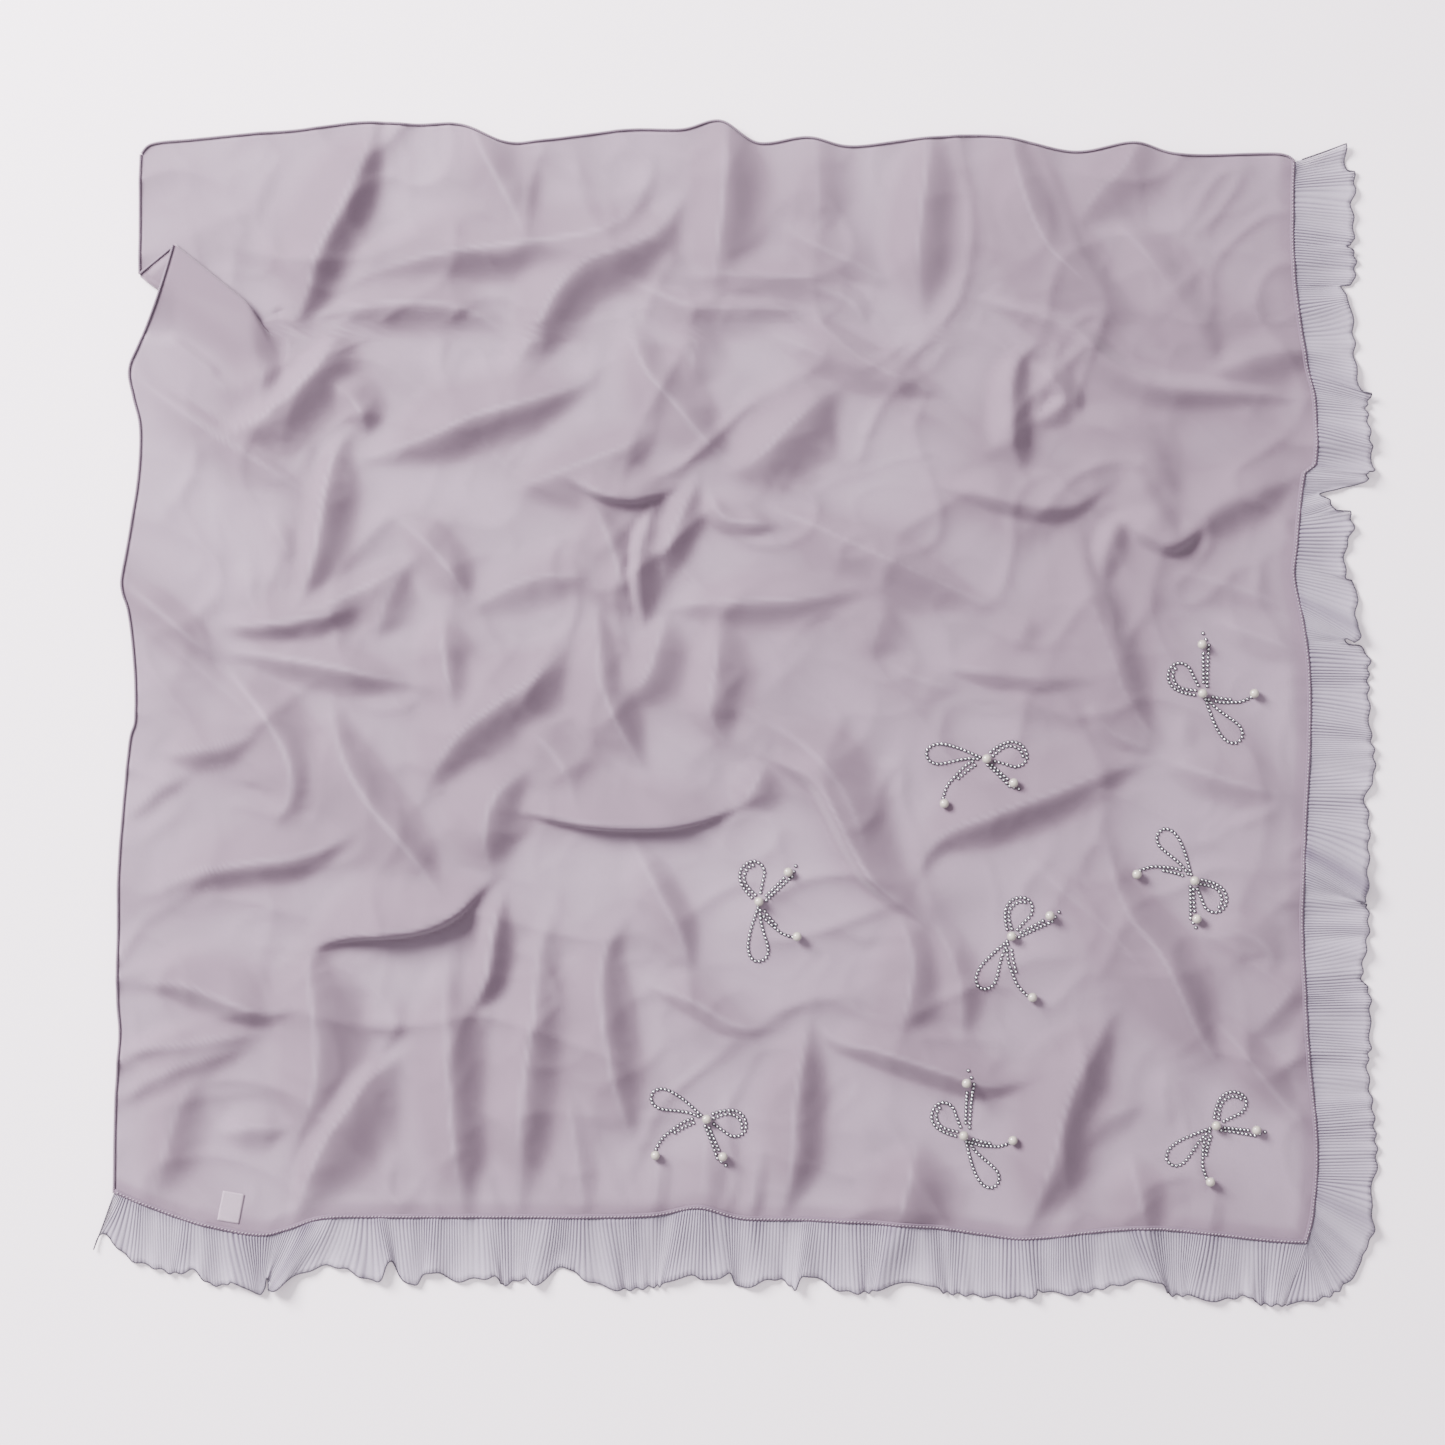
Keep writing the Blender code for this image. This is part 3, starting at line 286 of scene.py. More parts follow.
def foldField(x, y, values):
    # Height over the floor and sideways lean that all folds give together at flat places x, y,
    # and how near each place is to a crest line or to the foot of a shaded side, where the painted highlight
    # and painted shadow go
    total = np.zeros_like(x)
    crestLine = np.zeros_like(x)
    footLine = np.zeros_like(x)
    shiftX = np.zeros_like(x)
    shiftY = np.zeros_like(x)
    for _, height, lit, shaded, lean, *ridge in folds:
        spine = resample(ridge, values["spineSteps"])
        margin = max(lit, shaded) * values["reachGain"]
        low = spine.min(axis=0) - margin
        high = spine.max(axis=0) + margin
        inside = (x > low[0]) & (x < high[0]) & (y > low[1]) & (y < high[1])
        if not inside.any():
            continue
        spot = np.column_stack([x[inside], y[inside]])
        along = np.diff(spine, axis=0)
        length = np.linalg.norm(along, axis=1)
        offset = spot[:, None, :] - spine[None, :-1, :]
        share = np.clip((offset * along).sum(axis=2) / length ** 2, 0.0, 1.0)
        foot = offset - along * share[:, :, None]
        distance = np.linalg.norm(foot, axis=2)
        best = distance.argmin(axis=1)
        index = np.arange(len(spot))
        near = distance[index, best]
        aside = offset[index, best]
        side = along[best, 0] * aside[:, 1] - along[best, 1] * aside[:, 0]
        place = (best + share[index, best]) / len(along)
        taper = smoothStep(place / values["taperShare"]) * smoothStep((1.0 - place) / values["taperShare"])
        narrowed = values["taperReach"] + (1.0 - values["taperReach"]) * taper
        reach = np.where(side > 0.0, lit, shaded) * values["reachGain"] * narrowed
        crest = values["crestRound"]
        distant = np.sqrt(near * near + crest * crest) - crest
        away = np.minimum(distant / reach, 1.0)
        fall = values["crestFall"]
        rounded = 1.0 - fall * away - (1.0 - fall) * away ** values["footRound"]
        swell = 0.5 + 0.5 * np.cos(math.pi * away ** values["swellShift"])
        softness = float(smoothStep((shaded - values["lipReach"]) / values["lipSpread"]))
        rounded = rounded * (1.0 - softness) + swell * softness
        profile = np.where(side > 0.0, (1.0 - away) ** values["footCurve"], rounded)
        strength = profile * (values["taperHeight"] + (1.0 - values["taperHeight"]) * taper)
        tall = max(height - values["tallFrom"], 0.0)
        total[inside] += ((height - tall * (1.0 - values["tallShare"])) * strength) ** values["foldPower"]
        weight = min(1.0, height / values["fullHeight"]) * taper
        nearCrest = weight * np.exp(-(near / values["crestWidth"]) ** 2)
        crestLine[inside] = np.maximum(crestLine[inside], nearCrest)
        footAway = (near - values["footPlace"] * reach) / (values["footWidth"] * reach)
        nearFoot = np.where(side > 0.0, 0.0, weight * np.exp(-footAway ** 2))
        footLine[inside] = np.maximum(footLine[inside], nearFoot)
        push = lean * strength ** values["leanCurve"]
        shiftX[inside] += along[best, 1] / length[best] * push
        shiftY[inside] -= along[best, 0] / length[best] * push
    rise = values["foldGain"] * total ** (1.0 / values["foldPower"])
    return rise * rise / (rise + values["toe"]), shiftX, shiftY, crestLine, footLine


# Soft creases all over: size of the pattern, height, sharpness of the crease, shift of the pattern
crumples = [(150.0, 4.0, 2.6, 11.0), (85.0, 2.2, 3.0, 47.0), (46.0, 0.7, 3.0, 83.0)]
crumpleValues = {"warpScale": 0.6, "warp": 0.8, "narrow": 2.2}


def crumpleField(x, y, values):
    rise = np.zeros_like(x)
    for size, height, sharp, shift in crumples:
        for k in range(len(x)):
            across = x[k] / size
            down = y[k] / size
            warp = values["warp"] * noise.noise(
                Vector((across * values["warpScale"], down * values["warpScale"], shift)))
            crease = abs(noise.noise(Vector((across + warp, down - warp, shift))))
            rise[k] += height * max(0.0, 1.0 - values["narrow"] * crease) ** sharp
    return rise


def patch(leftEdge, rightEdge, firstLine, lastLine):
    # Rows between two lines of points whose ends follow the side edges
    down = np.linspace(0.0, 1.0, len(leftEdge))[:, None, None]
    across = np.linspace(0.0, 1.0, len(firstLine))[None, :, None]
    mixed = firstLine[None] * (1.0 - down) + lastLine[None] * down
    leftOff = leftEdge[:, None] - mixed[:, :1]
    rightOff = rightEdge[:, None] - mixed[:, -1:]
    return mixed + leftOff * (1.0 - across) + rightOff * across


def lineAt(points, x):
    given = np.array(points, float)
    return np.interp(x, given[:, 0], given[:, 1])


def edgeAt(edge, y):
    order = np.argsort(edge[:, 1])
    return np.column_stack([np.interp(y, edge[order, 1], edge[order, 0]), y])


def flapRow(row, values, rightEdge):
    kind, bend, offset, rise = row
    line = flapLines[kind]
    endX, endY = flapLines["high"][-1]
    seamX, seamY = values["seamMiddle"]
    across = np.linspace(0.0, 1.0, values["columns"])
    x = line[0][0] + (seamX - line[0][0]) * across
    inside = smoothStep((values["flapEnd"] - x) / values["flapLineFade"])
    foldedY = lineAt(line, np.minimum(x, values["flapEnd"])) + bend
    past = np.clip((x - endX) / (seamX - endX), 0.0, None)
    bandY = endY + (seamY - endY) * past + offset
    y = foldedY * inside + bandY * (1.0 - inside)
    lastX = edgeAt(rightEdge, np.array([y[-1]]))[0, 0]
    x = line[0][0] + (x - line[0][0]) * (lastX - line[0][0]) / (x[-1] - line[0][0])
    return np.column_stack([x, y, rise * smoothStep((values["flapEnd"] - x) / values["flapHeightFade"])])


def panelGrid(values):
    # The whole panel as a grid of points, top row first, left column first
    columns = values["columns"]
    rightEdge = resample(outline["rightSeam"], values["edgeSteps"])
    keyRows = np.array([flapRow(row, values, rightEdge) for row in flapRows])
    top = resample(outline["top"], columns)
    bottom = resample(outline["bottomSeam"], columns)
    rowsAbove = values["rowsAbove"]
    rightAbove = edgeAt(rightEdge, np.linspace(top[-1, 1], keyRows[0, -1, 1], rowsAbove))
    above = patch(resample(outline["leftUpper"], rowsAbove), rightAbove, top, keyRows[0, :, :2])
    above = np.dstack([above, np.zeros(above.shape[:2])])
    between = []
    for k in range(len(keyRows) - 1):
        for step in range(values["rowsBetween"]):
            share = step / values["rowsBetween"]
            between.append(keyRows[k] * (1.0 - share) + keyRows[k + 1] * share)
    rowsBelow = values["rowsBelow"]
    rightBelow = edgeAt(rightEdge, np.linspace(keyRows[-1, -1, 1], bottom[-1, 1], rowsBelow))
    below = patch(resample(outline["leftLower"], rowsBelow), rightBelow, keyRows[-1, :, :2], bottom)
    drop = (lineAt(flapLines["high"], below[:, :, 0]) - below[:, :, 1]) / values["flapFall"]
    carried = flapRows[-1][3] * smoothStep((values["flapEnd"] - below[:, :, 0]) / values["flapHeightFade"])
    delay = values["flapFallDelay"]
    below = np.dstack([below, carried * (1.0 - smoothStep(drop * (1.0 + delay) - delay))])
    grid = np.concatenate([above[:-1], np.array(between), below])
    raised = grid[:, :, 2] > 0.01
    flatX = grid[:, :, 0].ravel()
    flatY = grid[:, :, 1].ravel()
    rise, shiftX, shiftY, crestLine, footLine = foldField(flatX, flatY, values)
    shape = grid.shape[:2]
    rise += crumpleField(flatX, flatY, crumpleValues)
    onFlap = smoothStep((values["flapFoldStart"] - grid[:, :, 1]) / values["flapFoldFade"])
    rise = rise.reshape(shape) * np.where(raised, onFlap, 1.0)
    calm = np.where(raised, 0.0, 1.0)
    grid[:, :, 0] += shiftX.reshape(shape) * calm
    grid[:, :, 1] += shiftY.reshape(shape) * calm
    grid[:, :, 2] += rise
    for _ in range(values["smoothPasses"]):
        inner = grid[1:-1, 1:-1]
        around = grid[:-2, 1:-1] + grid[2:, 1:-1] + grid[1:-1, :-2] + grid[1:-1, 2:]
        grid[1:-1, 1:-1] = inner * (1.0 - values["smoothShare"]) + around * values["smoothShare"] * 0.25
    grid[:, :, 2] += values["restHeight"]
    return grid, crestLine.reshape(shape), footLine.reshape(shape)


def gridNormals(grid):
    across = np.gradient(grid, axis=1)
    down = np.gradient(grid, axis=0)
    normal = np.cross(down, across)
    normal /= np.linalg.norm(normal, axis=2, keepdims=True) + 1e-12
    return normal if normal[:, :, 2].sum() > 0.0 else -normal


def addMesh(name, mesh, material):
    item = bpy.data.objects.new(name, mesh)
    bpy.context.scene.collection.objects.link(item)
    mesh.materials.append(material)
    mesh.shade_smooth()
    return item


def outwardMesh(name, points, faces):
    # A closed mesh from points in mm, its faces turned outward
    mesh = bpy.data.meshes.new(name)
    mesh.from_pydata((np.asarray(points) * mm).tolist(), [], faces)
    mesh.update()
    shape = bmesh.new()
    shape.from_mesh(mesh)
    bmesh.ops.recalc_face_normals(shape, faces=shape.faces)
    shape.to_mesh(mesh)
    shape.free()
    return mesh


def spreadCut(mesh, flat, masks):
    # The flat cut as a UV map, and each mask as an attribute of the points
    corners = np.empty(len(mesh.loops), dtype=np.int32)
    mesh.loops.foreach_get("vertex_index", corners)
    mesh.uv_layers.new(name="cut").data.foreach_set("uv", flat[corners].ravel())
    for label, mask in masks.items():
        attribute = mesh.attributes.new(label, "FLOAT", "POINT")
        attribute.data.foreach_set("value", mask.astype(np.float32))


def quadsOf(place):
    return np.stack([place[:-1, :-1], place[1:, :-1], place[1:, 1:], place[:-1, 1:]], axis=2).reshape(-1, 4)


def gridShell(name, grid, wall, material, masks=None, cut=(1.0, 1.0)):
    # A closed thin sheet round a grid of points in mm, with its cut as UV map and masks as attributes
    rows, columns = grid.shape[:2]
    half = gridNormals(grid) * wall * 0.5
    points = np.concatenate([(grid + half).reshape(-1, 3), (grid - half).reshape(-1, 3)])
    place = np.arange(rows * columns).reshape(rows, columns)
    quads = quadsOf(place)
    rim = np.concatenate([place[0, :-1], place[:-1, -1], place[-1, :0:-1], place[:0:-1, 0]])
    follow = np.roll(rim, -1)
    count = rows * columns
    edgeQuads = np.column_stack([rim, follow, follow + count, rim + count])
    faces = np.concatenate([quads, quads[:, ::-1] + count, edgeQuads])
    mesh = outwardMesh(name, points, faces.tolist())
    u, v = np.meshgrid(np.linspace(0.0, cut[0], columns), np.linspace(cut[1], 0.0, rows))
    flat = np.column_stack([u.ravel(), v.ravel()])
    both = {
        label: np.concatenate([mask.ravel(), mask.ravel()])
        for label, mask in (masks or {}).items()
    }
    spreadCut(mesh, np.concatenate([flat, flat]), both)
    return addMesh(name, mesh, material)


def clothShell(name, grid, turned, material, masks, values):
    # A closed sheet with a fine face and an underside of fewer points, kept clear below the face;
    # where the cloth is turned over (first row, last row, right end) the underside stays close
    wall = values["wall"]
    step = values["underStep"]
    rows, columns = grid.shape[:2]
    normals = gridNormals(grid)
    coarse = grid[::step, ::step]
    downs, acrosses = coarse.shape[:2]
    depth = np.full(coarse.shape[:2], wall)
    for i in range(downs - 1):
        for j in range(acrosses - 1):
            down = np.linspace(0.0, 1.0, step + 1)[:, None, None]
            across = np.linspace(0.0, 1.0, step + 1)[None, :, None]
            near = coarse[i, j] * (1.0 - across) + coarse[i, j + 1] * across
            far = coarse[i + 1, j] * (1.0 - across) + coarse[i + 1, j + 1] * across
            fine = grid[i * step:(i + 1) * step + 1, j * step:(j + 1) * step + 1]
            facing = normals[i * step:(i + 1) * step + 1, j * step:(j + 1) * step + 1]
            clear = ((near * (1.0 - down) + far * down - fine) * facing).sum(axis=2).max() + wall
            corner = depth[i:i + 2, j:j + 2]
            close = turned[0] <= i * step <= turned[1] and coarse[i, j, 0] < turned[2]
            most = wall * (values["turnedMost"] if close else values["underMost"])
            depth[i:i + 2, j:j + 2] = np.maximum(corner, min(clear, most))
    under = coarse - normals[::step, ::step] * depth[:, :, None]
    under[:, :, 2] = np.maximum(under[:, :, 2], values["underFloor"])
    place = np.arange(rows * columns).reshape(rows, columns)
    low = np.arange(downs * acrosses).reshape(downs, acrosses) + rows * columns
    faces = quadsOf(place).tolist() + quadsOf(low)[:, [0, 3, 2, 1]].tolist()
    for fineLine, lowLine in (
        (place[0], low[0]), (place[:, -1], low[:, -1]), (place[-1, ::-1], low[-1, ::-1]),
        (place[::-1, 0], low[::-1, 0]),
    ):
        for k in range(len(lowLine) - 1):
            run = fineLine[k * step:(k + 1) * step + 1]
            middle = step // 2
            faces += [(int(run[m]), int(run[m + 1]), int(lowLine[k])) for m in range(middle)]
            faces.append((int(run[middle]), int(lowLine[k + 1]), int(lowLine[k])))
            faces += [(int(run[m]), int(run[m + 1]), int(lowLine[k + 1])) for m in range(middle, step)]
    points = np.concatenate([grid.reshape(-1, 3), under.reshape(-1, 3)])
    mesh = outwardMesh(name, points, faces)
    fineDown, fineAcross = np.meshgrid(
        np.linspace(1.0, 0.0, rows), np.linspace(0.0, 1.0, columns), indexing="ij")
    spread = np.dstack([fineAcross, fineDown]) * values["cut"]
    flat = np.concatenate([spread.reshape(-1, 2), spread[::step, ::step].reshape(-1, 2)])
    both = {
        label: np.concatenate([mask.ravel(), mask[::step, ::step].ravel()])
        for label, mask in masks.items()
    }
    spreadCut(mesh, flat, both)
    return addMesh(name, mesh, material)


def tube(name, path, radii, sides, material):
    # A closed round bead along points in mm, with a radius at each point
    along = np.gradient(path, axis=0)
    along /= np.linalg.norm(along, axis=1, keepdims=True) + 1e-12
    side = np.cross(along, (0.0, 0.0, 1.0))
    side /= np.linalg.norm(side, axis=1, keepdims=True) + 1e-12
    up = np.cross(side, along)
    angle = np.arange(sides) * 2.0 * math.pi / sides
    turned = angle[None, :, None]
    ring = side[:, None] * np.cos(turned) + up[:, None] * np.sin(turned)
    points = path[:, None] + ring * np.asarray(radii)[:, None, None]
    count = len(path)
    place = np.arange(count * sides).reshape(count, sides)
    follow = np.roll(place, -1, axis=1)
    faces = np.stack([place[:-1], follow[:-1], follow[1:], place[1:]], axis=2).reshape(-1, 4).tolist()
    faces.append(place[0, ::-1].tolist())
    faces.append(place[-1].tolist())
    return addMesh(name, outwardMesh(name, points.reshape(-1, 3), faces), material)


def paint(red, green, blue):
    # A colour given as on screen, turned into the shader's own scale
    tones = []
    for tone in (red, green, blue):
        share = tone / 255.0
        tones.append(share / 12.92 if share <= 0.04045 else ((share + 0.055) / 1.055) ** 2.4)
    return (*tones, 1.0)


def addNode(tree, kind, **values):
    node = tree.nodes.new(kind)
    for name, value in values.items():
        setattr(node, name, value)
    return node


def buildWeaveGroup():
    # Plain weave and crepe of a fine cloth: Height for bump, Mottle for colour, both from 0 to 1
    group = bpy.data.node_groups.new("fineWeave", "ShaderNodeTree")
    face = group.interface
    for name, kind, value in (
        ("Vector", "NodeSocketVector", None), ("Threads", "NodeSocketFloat", 1500.0),
        ("Crepe", "NodeSocketFloat", 420.0), ("Crepe Share", "NodeSocketFloat", 0.5),
    ):
        socket = face.new_socket(name, in_out="INPUT", socket_type=kind)
        if value is not None:
            socket.default_value = value
    face.new_socket("Height", in_out="OUTPUT", socket_type="NodeSocketFloat")
    face.new_socket("Mottle", in_out="OUTPUT", socket_type="NodeSocketFloat")
    source = addNode(group, "NodeGroupInput")
    result = addNode(group, "NodeGroupOutput")
    split = addNode(group, "ShaderNodeSeparateXYZ")
    group.links.new(source.outputs["Vector"], split.inputs[0])
    waves = []
    for axis in ("X", "Y"):
        scaled = addNode(group, "ShaderNodeMath", operation="MULTIPLY")
        group.links.new(split.outputs[axis], scaled.inputs[0])
        group.links.new(source.outputs["Threads"], scaled.inputs[1])
        turn = addNode(group, "ShaderNodeMath", operation="MULTIPLY")
        turn.inputs[1].default_value = 2.0 * math.pi
        group.links.new(scaled.outputs[0], turn.inputs[0])
        wave = addNode(group, "ShaderNodeMath", operation="SINE")
        group.links.new(turn.outputs[0], wave.inputs[0])
        waves.append(wave)
    woven = addNode(group, "ShaderNodeMath", operation="MULTIPLY_ADD")
    woven.inputs[2].default_value = 0.5
    group.links.new(waves[0].outputs[0], woven.inputs[0])
    group.links.new(waves[1].outputs[0], woven.inputs[1])
    crepe = addNode(group, "ShaderNodeTexNoise")
    crepe.inputs["Detail"].default_value = 3.0
    group.links.new(source.outputs["Vector"], crepe.inputs["Vector"])
    group.links.new(source.outputs["Crepe"], crepe.inputs["Scale"])
    mixed = addNode(group, "ShaderNodeMix")
    group.links.new(source.outputs["Crepe Share"], mixed.inputs[0])
    group.links.new(woven.outputs[0], mixed.inputs[2])
    group.links.new(crepe.outputs["Fac"], mixed.inputs[3])
    group.links.new(mixed.outputs[0], result.inputs["Height"])
    mottle = addNode(group, "ShaderNodeTexNoise")
    mottle.inputs["Scale"].default_value = 9.0
    mottle.inputs["Detail"].default_value = 5.0
    group.links.new(source.outputs["Vector"], mottle.inputs["Vector"])
    group.links.new(mottle.outputs["Fac"], result.inputs["Mottle"])
    return group


def startMaterial(name):
    material = bpy.data.materials.new(name)
    material.use_nodes = True
    tree = material.node_tree
    return material, tree, tree.nodes["Principled BSDF"]


def mixColours(tree, factor, first, second):
    mix = addNode(tree, "ShaderNodeMix", data_type="RGBA")
    for socket, value in ((mix.inputs[0], factor), (mix.inputs[6], first), (mix.inputs[7], second)):
        if isinstance(value, bpy.types.NodeSocket):
            tree.links.new(value, socket)
        else:
            socket.default_value = value
    return mix.outputs[2]


def scaleValue(tree, value, low, high):
    spread = addNode(tree, "ShaderNodeMapRange")
    spread.inputs["To Min"].default_value = low
    spread.inputs["To Max"].default_value = high
    tree.links.new(value, spread.inputs["Value"])
    return spread.outputs["Result"]


def addBump(tree, shader, height, distance, strength):
    bump = addNode(tree, "ShaderNodeBump")
    bump.inputs["Distance"].default_value = distance
    bump.inputs["Strength"].default_value = strength
    tree.links.new(height, bump.inputs["Height"])
    tree.links.new(bump.outputs["Normal"], shader.inputs["Normal"])


def cloudTexture(tree, scale, detail=2.0):
    place = addNode(tree, "ShaderNodeTexCoord")
    cloud = addNode(tree, "ShaderNodeTexNoise")
    cloud.inputs["Scale"].default_value = scale
    cloud.inputs["Detail"].default_value = detail
    tree.links.new(place.outputs["Object"], cloud.inputs["Vector"])
    return cloud.outputs["Fac"]


weaveGroup = buildWeaveGroup()


def clothMaterial(name, values):
    # Woven cloth: base colour, a darker tone where layers lie under it, a painted-shade tone with lighter
    # crests from a mask, weave, crepe and sheen
    material, tree, shader = startMaterial(name)
    place = addNode(tree, "ShaderNodeUVMap", uv_map="cut")
    weave = addNode(tree, "ShaderNodeGroup", node_tree=weaveGroup)
    tree.links.new(place.outputs["UV"], weave.inputs["Vector"])
    weave.inputs["Threads"].default_value = values["threads"]
    weave.inputs["Crepe"].default_value = values["crepe"]
    weave.inputs["Crepe Share"].default_value = values["crepeShare"]
    mottle = scaleValue(tree, weave.outputs["Mottle"], 0.0, 1.0)
    tone = mixColours(tree, mottle, values["tone"], values["toneTwo"])
    # The under mask darkens towards the doubled tone: real layers beneath on the panel; on the frill, denser
    # pleat cloth with painted shade in pleat valleys and beside tucks
    under = addNode(tree, "ShaderNodeAttribute", attribute_name="under")
    tone = mixColours(tree, under.outputs["Fac"], tone, values["doubled"])
    # Painted shade: a mask darkens raised and sloping cloth and lightens crests as a painted highlight
    lifted = addNode(tree, "ShaderNodeAttribute", attribute_name="lifted")
    tone = mixColours(tree, lifted.outputs["Fac"], tone, values["lifted"])
    shade = scaleValue(tree, weave.outputs["Height"], 0.0, values["threadShade"])
    tree.links.new(mixColours(tree, shade, tone, values["doubled"]), shader.inputs["Base Color"])
    rough = scaleValue(tree, weave.outputs["Height"], *values["roughness"])
    tree.links.new(rough, shader.inputs["Roughness"])
    shader.inputs["Sheen Weight"].default_value = values["sheen"]
    shader.inputs["Sheen Roughness"].default_value = values["sheenRoughness"]
    shader.inputs["Sheen Tint"].default_value = values["sheenTint"]
    shader.inputs["Specular IOR Level"].default_value = values["specular"]
    addBump(tree, shader, weave.outputs["Height"], values["bump"], values["bumpStrength"])
    if "alpha" in values:
        dense = scaleValue(tree, under.outputs["Fac"], *values["alpha"])
        tree.links.new(dense, shader.inputs["Alpha"])
    return material


threadValues = {"distortion": 2.0, "roughness": (0.6, 0.85), "bump": 0.0002, "bumpStrength": 0.5}


def threadMaterial(name, colour, shade, pitch, values):
    # Twisted sewing thread: fine diagonal plies
    material, tree, shader = startMaterial(name)
    place = addNode(tree, "ShaderNodeTexCoord")
    ply = addNode(tree, "ShaderNodeTexWave", wave_type="BANDS", bands_direction="DIAGONAL")
    ply.inputs["Scale"].default_value = 1.0 / pitch
    ply.inputs["Distortion"].default_value = values["distortion"]
    tree.links.new(place.outputs["Object"], ply.inputs["Vector"])
    tree.links.new(mixColours(tree, ply.outputs["Fac"], shade, colour), shader.inputs["Base Color"])
    rough = scaleValue(tree, ply.outputs["Fac"], *values["roughness"])
    tree.links.new(rough, shader.inputs["Roughness"])
    addBump(tree, shader, ply.outputs["Fac"], values["bump"], values["bumpStrength"])
    return material


# Cream bead: two tones, the darker rim tone painted as shade towards its outline, grain per metre, gloss and
# coat
pearlLook = {
    "tone": paint(178, 168, 158), "toneTwo": paint(162, 152, 145), "rim": paint(66, 56, 56),
    "outlineShadeBlend": 0.45, "grain": 260.0, "grainDetail": 3.0, "roughness": (0.16, 0.3), "coat": 0.6,
    "coatRoughness": 0.12, "sheen": 0.2, "bump": 0.0001, "bumpStrength": 0.15,
}


def pearlMaterial(values):
    material, tree, shader = startMaterial("creamPearl")
    cloud = cloudTexture(tree, values["grain"], values["grainDetail"])
    # Painted shade: the bead darkens towards its outline as it turns from the view
    glance = addNode(tree, "ShaderNodeLayerWeight")
    glance.inputs["Blend"].default_value = values["outlineShadeBlend"]
    body = mixColours(tree, cloud, values["tone"], values["toneTwo"])
    shadedBead = mixColours(tree, glance.outputs["Facing"], body, values["rim"])
    tree.links.new(shadedBead, shader.inputs["Base Color"])
    tree.links.new(scaleValue(tree, cloud, *values["roughness"]), shader.inputs["Roughness"])
    shader.inputs["Coat Weight"].default_value = values["coat"]
    shader.inputs["Coat Roughness"].default_value = values["coatRoughness"]
    shader.inputs["Sheen Weight"].default_value = values["sheen"]
    addBump(tree, shader, cloud, values["bump"], values["bumpStrength"])
    return material


metalValues = {"grain": 900.0, "bump": 0.0001, "bumpStrength": 0.1}


def metalMaterial(name, bright, dull, roughness, metallic, values):
    material, tree, shader = startMaterial(name)
    grain = cloudTexture(tree, values["grain"])
    tree.links.new(mixColours(tree, grain, bright, dull), shader.inputs["Base Color"])
    tree.links.new(scaleValue(tree, grain, *roughness), shader.inputs["Roughness"])
    shader.inputs["Metallic"].default_value = metallic
    addBump(tree, shader, grain, values["bump"], values["bumpStrength"])
    return material


# The first chiffon tone is the painted shade laid over raised and sloping cloth
chiffonLook = {
    "lifted": paint(110, 91, 106),
    "tone": paint(150, 132, 148), "toneTwo": paint(144, 125, 143), "doubled": paint(104, 84, 102),
    "threads": 1500.0, "crepe": 420.0, "crepeShare": 0.5, "threadShade": 0.3, "roughness": (0.62, 0.8),
    "sheen": 0.35, "sheenTint": paint(240, 228, 240), "sheenRoughness": 0.45, "specular": 0.25,
    "bump": 0.00025, "bumpStrength": 0.6,
}
# On the frill the doubled tone also serves as painted shade in the pleat valleys and beside the tucks
frillLook = dict(
    chiffonLook, lifted=paint(120, 108, 124), tone=paint(178, 167, 184), toneTwo=paint(170, 159, 177),
    doubled=paint(92, 80, 99), threads=1300.0, crepe=700.0, crepeShare=0.6, threadShade=0.25,
    roughness=(0.6, 0.8), sheen=0.25, sheenTint=paint(235, 228, 240), bump=0.0002, alpha=(0.55, 1.0),
)
seamLook = dict(
    chiffonLook, tone=paint(106, 88, 105), toneTwo=paint(98, 80, 97), doubled=paint(66, 52, 66), sheen=0.1,
)
labelLook = dict(
    chiffonLook, tone=paint(160, 141, 157), toneTwo=paint(154, 135, 151), doubled=paint(130, 110, 126),
    threads=2200.0, sheen=0.15,
)
chiffon = clothMaterial("mauveChiffon", chiffonLook)
frillCloth = clothMaterial("greyLilacCrinkle", frillLook)
seamCloth = clothMaterial("seamFoldChiffon", seamLook)
labelCloth = clothMaterial("whiteWovenTab", labelLook)
hemThread = threadMaterial(
    "mauveHemThread", paint(128, 110, 126), paint(84, 68, 84), 0.0009, threadValues)
edgeThread = threadMaterial(
    "darkEdgeThread", paint(66, 58, 72), paint(30, 25, 36), 0.0008, threadValues)
seamThread = threadMaterial(
    "seamThread", paint(168, 154, 167), paint(118, 101, 117), 0.0007, threadValues)
pearlShell = pearlMaterial(pearlLook)
studSilver = metalMaterial(
    "studSilver", paint(238, 238, 240), paint(214, 214, 220), (0.18, 0.3), 1.0, metalValues)
# A dark ring round each stud's dome, put there as painted shade
studShadeRing = metalMaterial(
    "studPaintedShadeRing", paint(38, 35, 44), paint(20, 18, 25), (0.5, 0.65), 0.1, metalValues)
print("materials built")


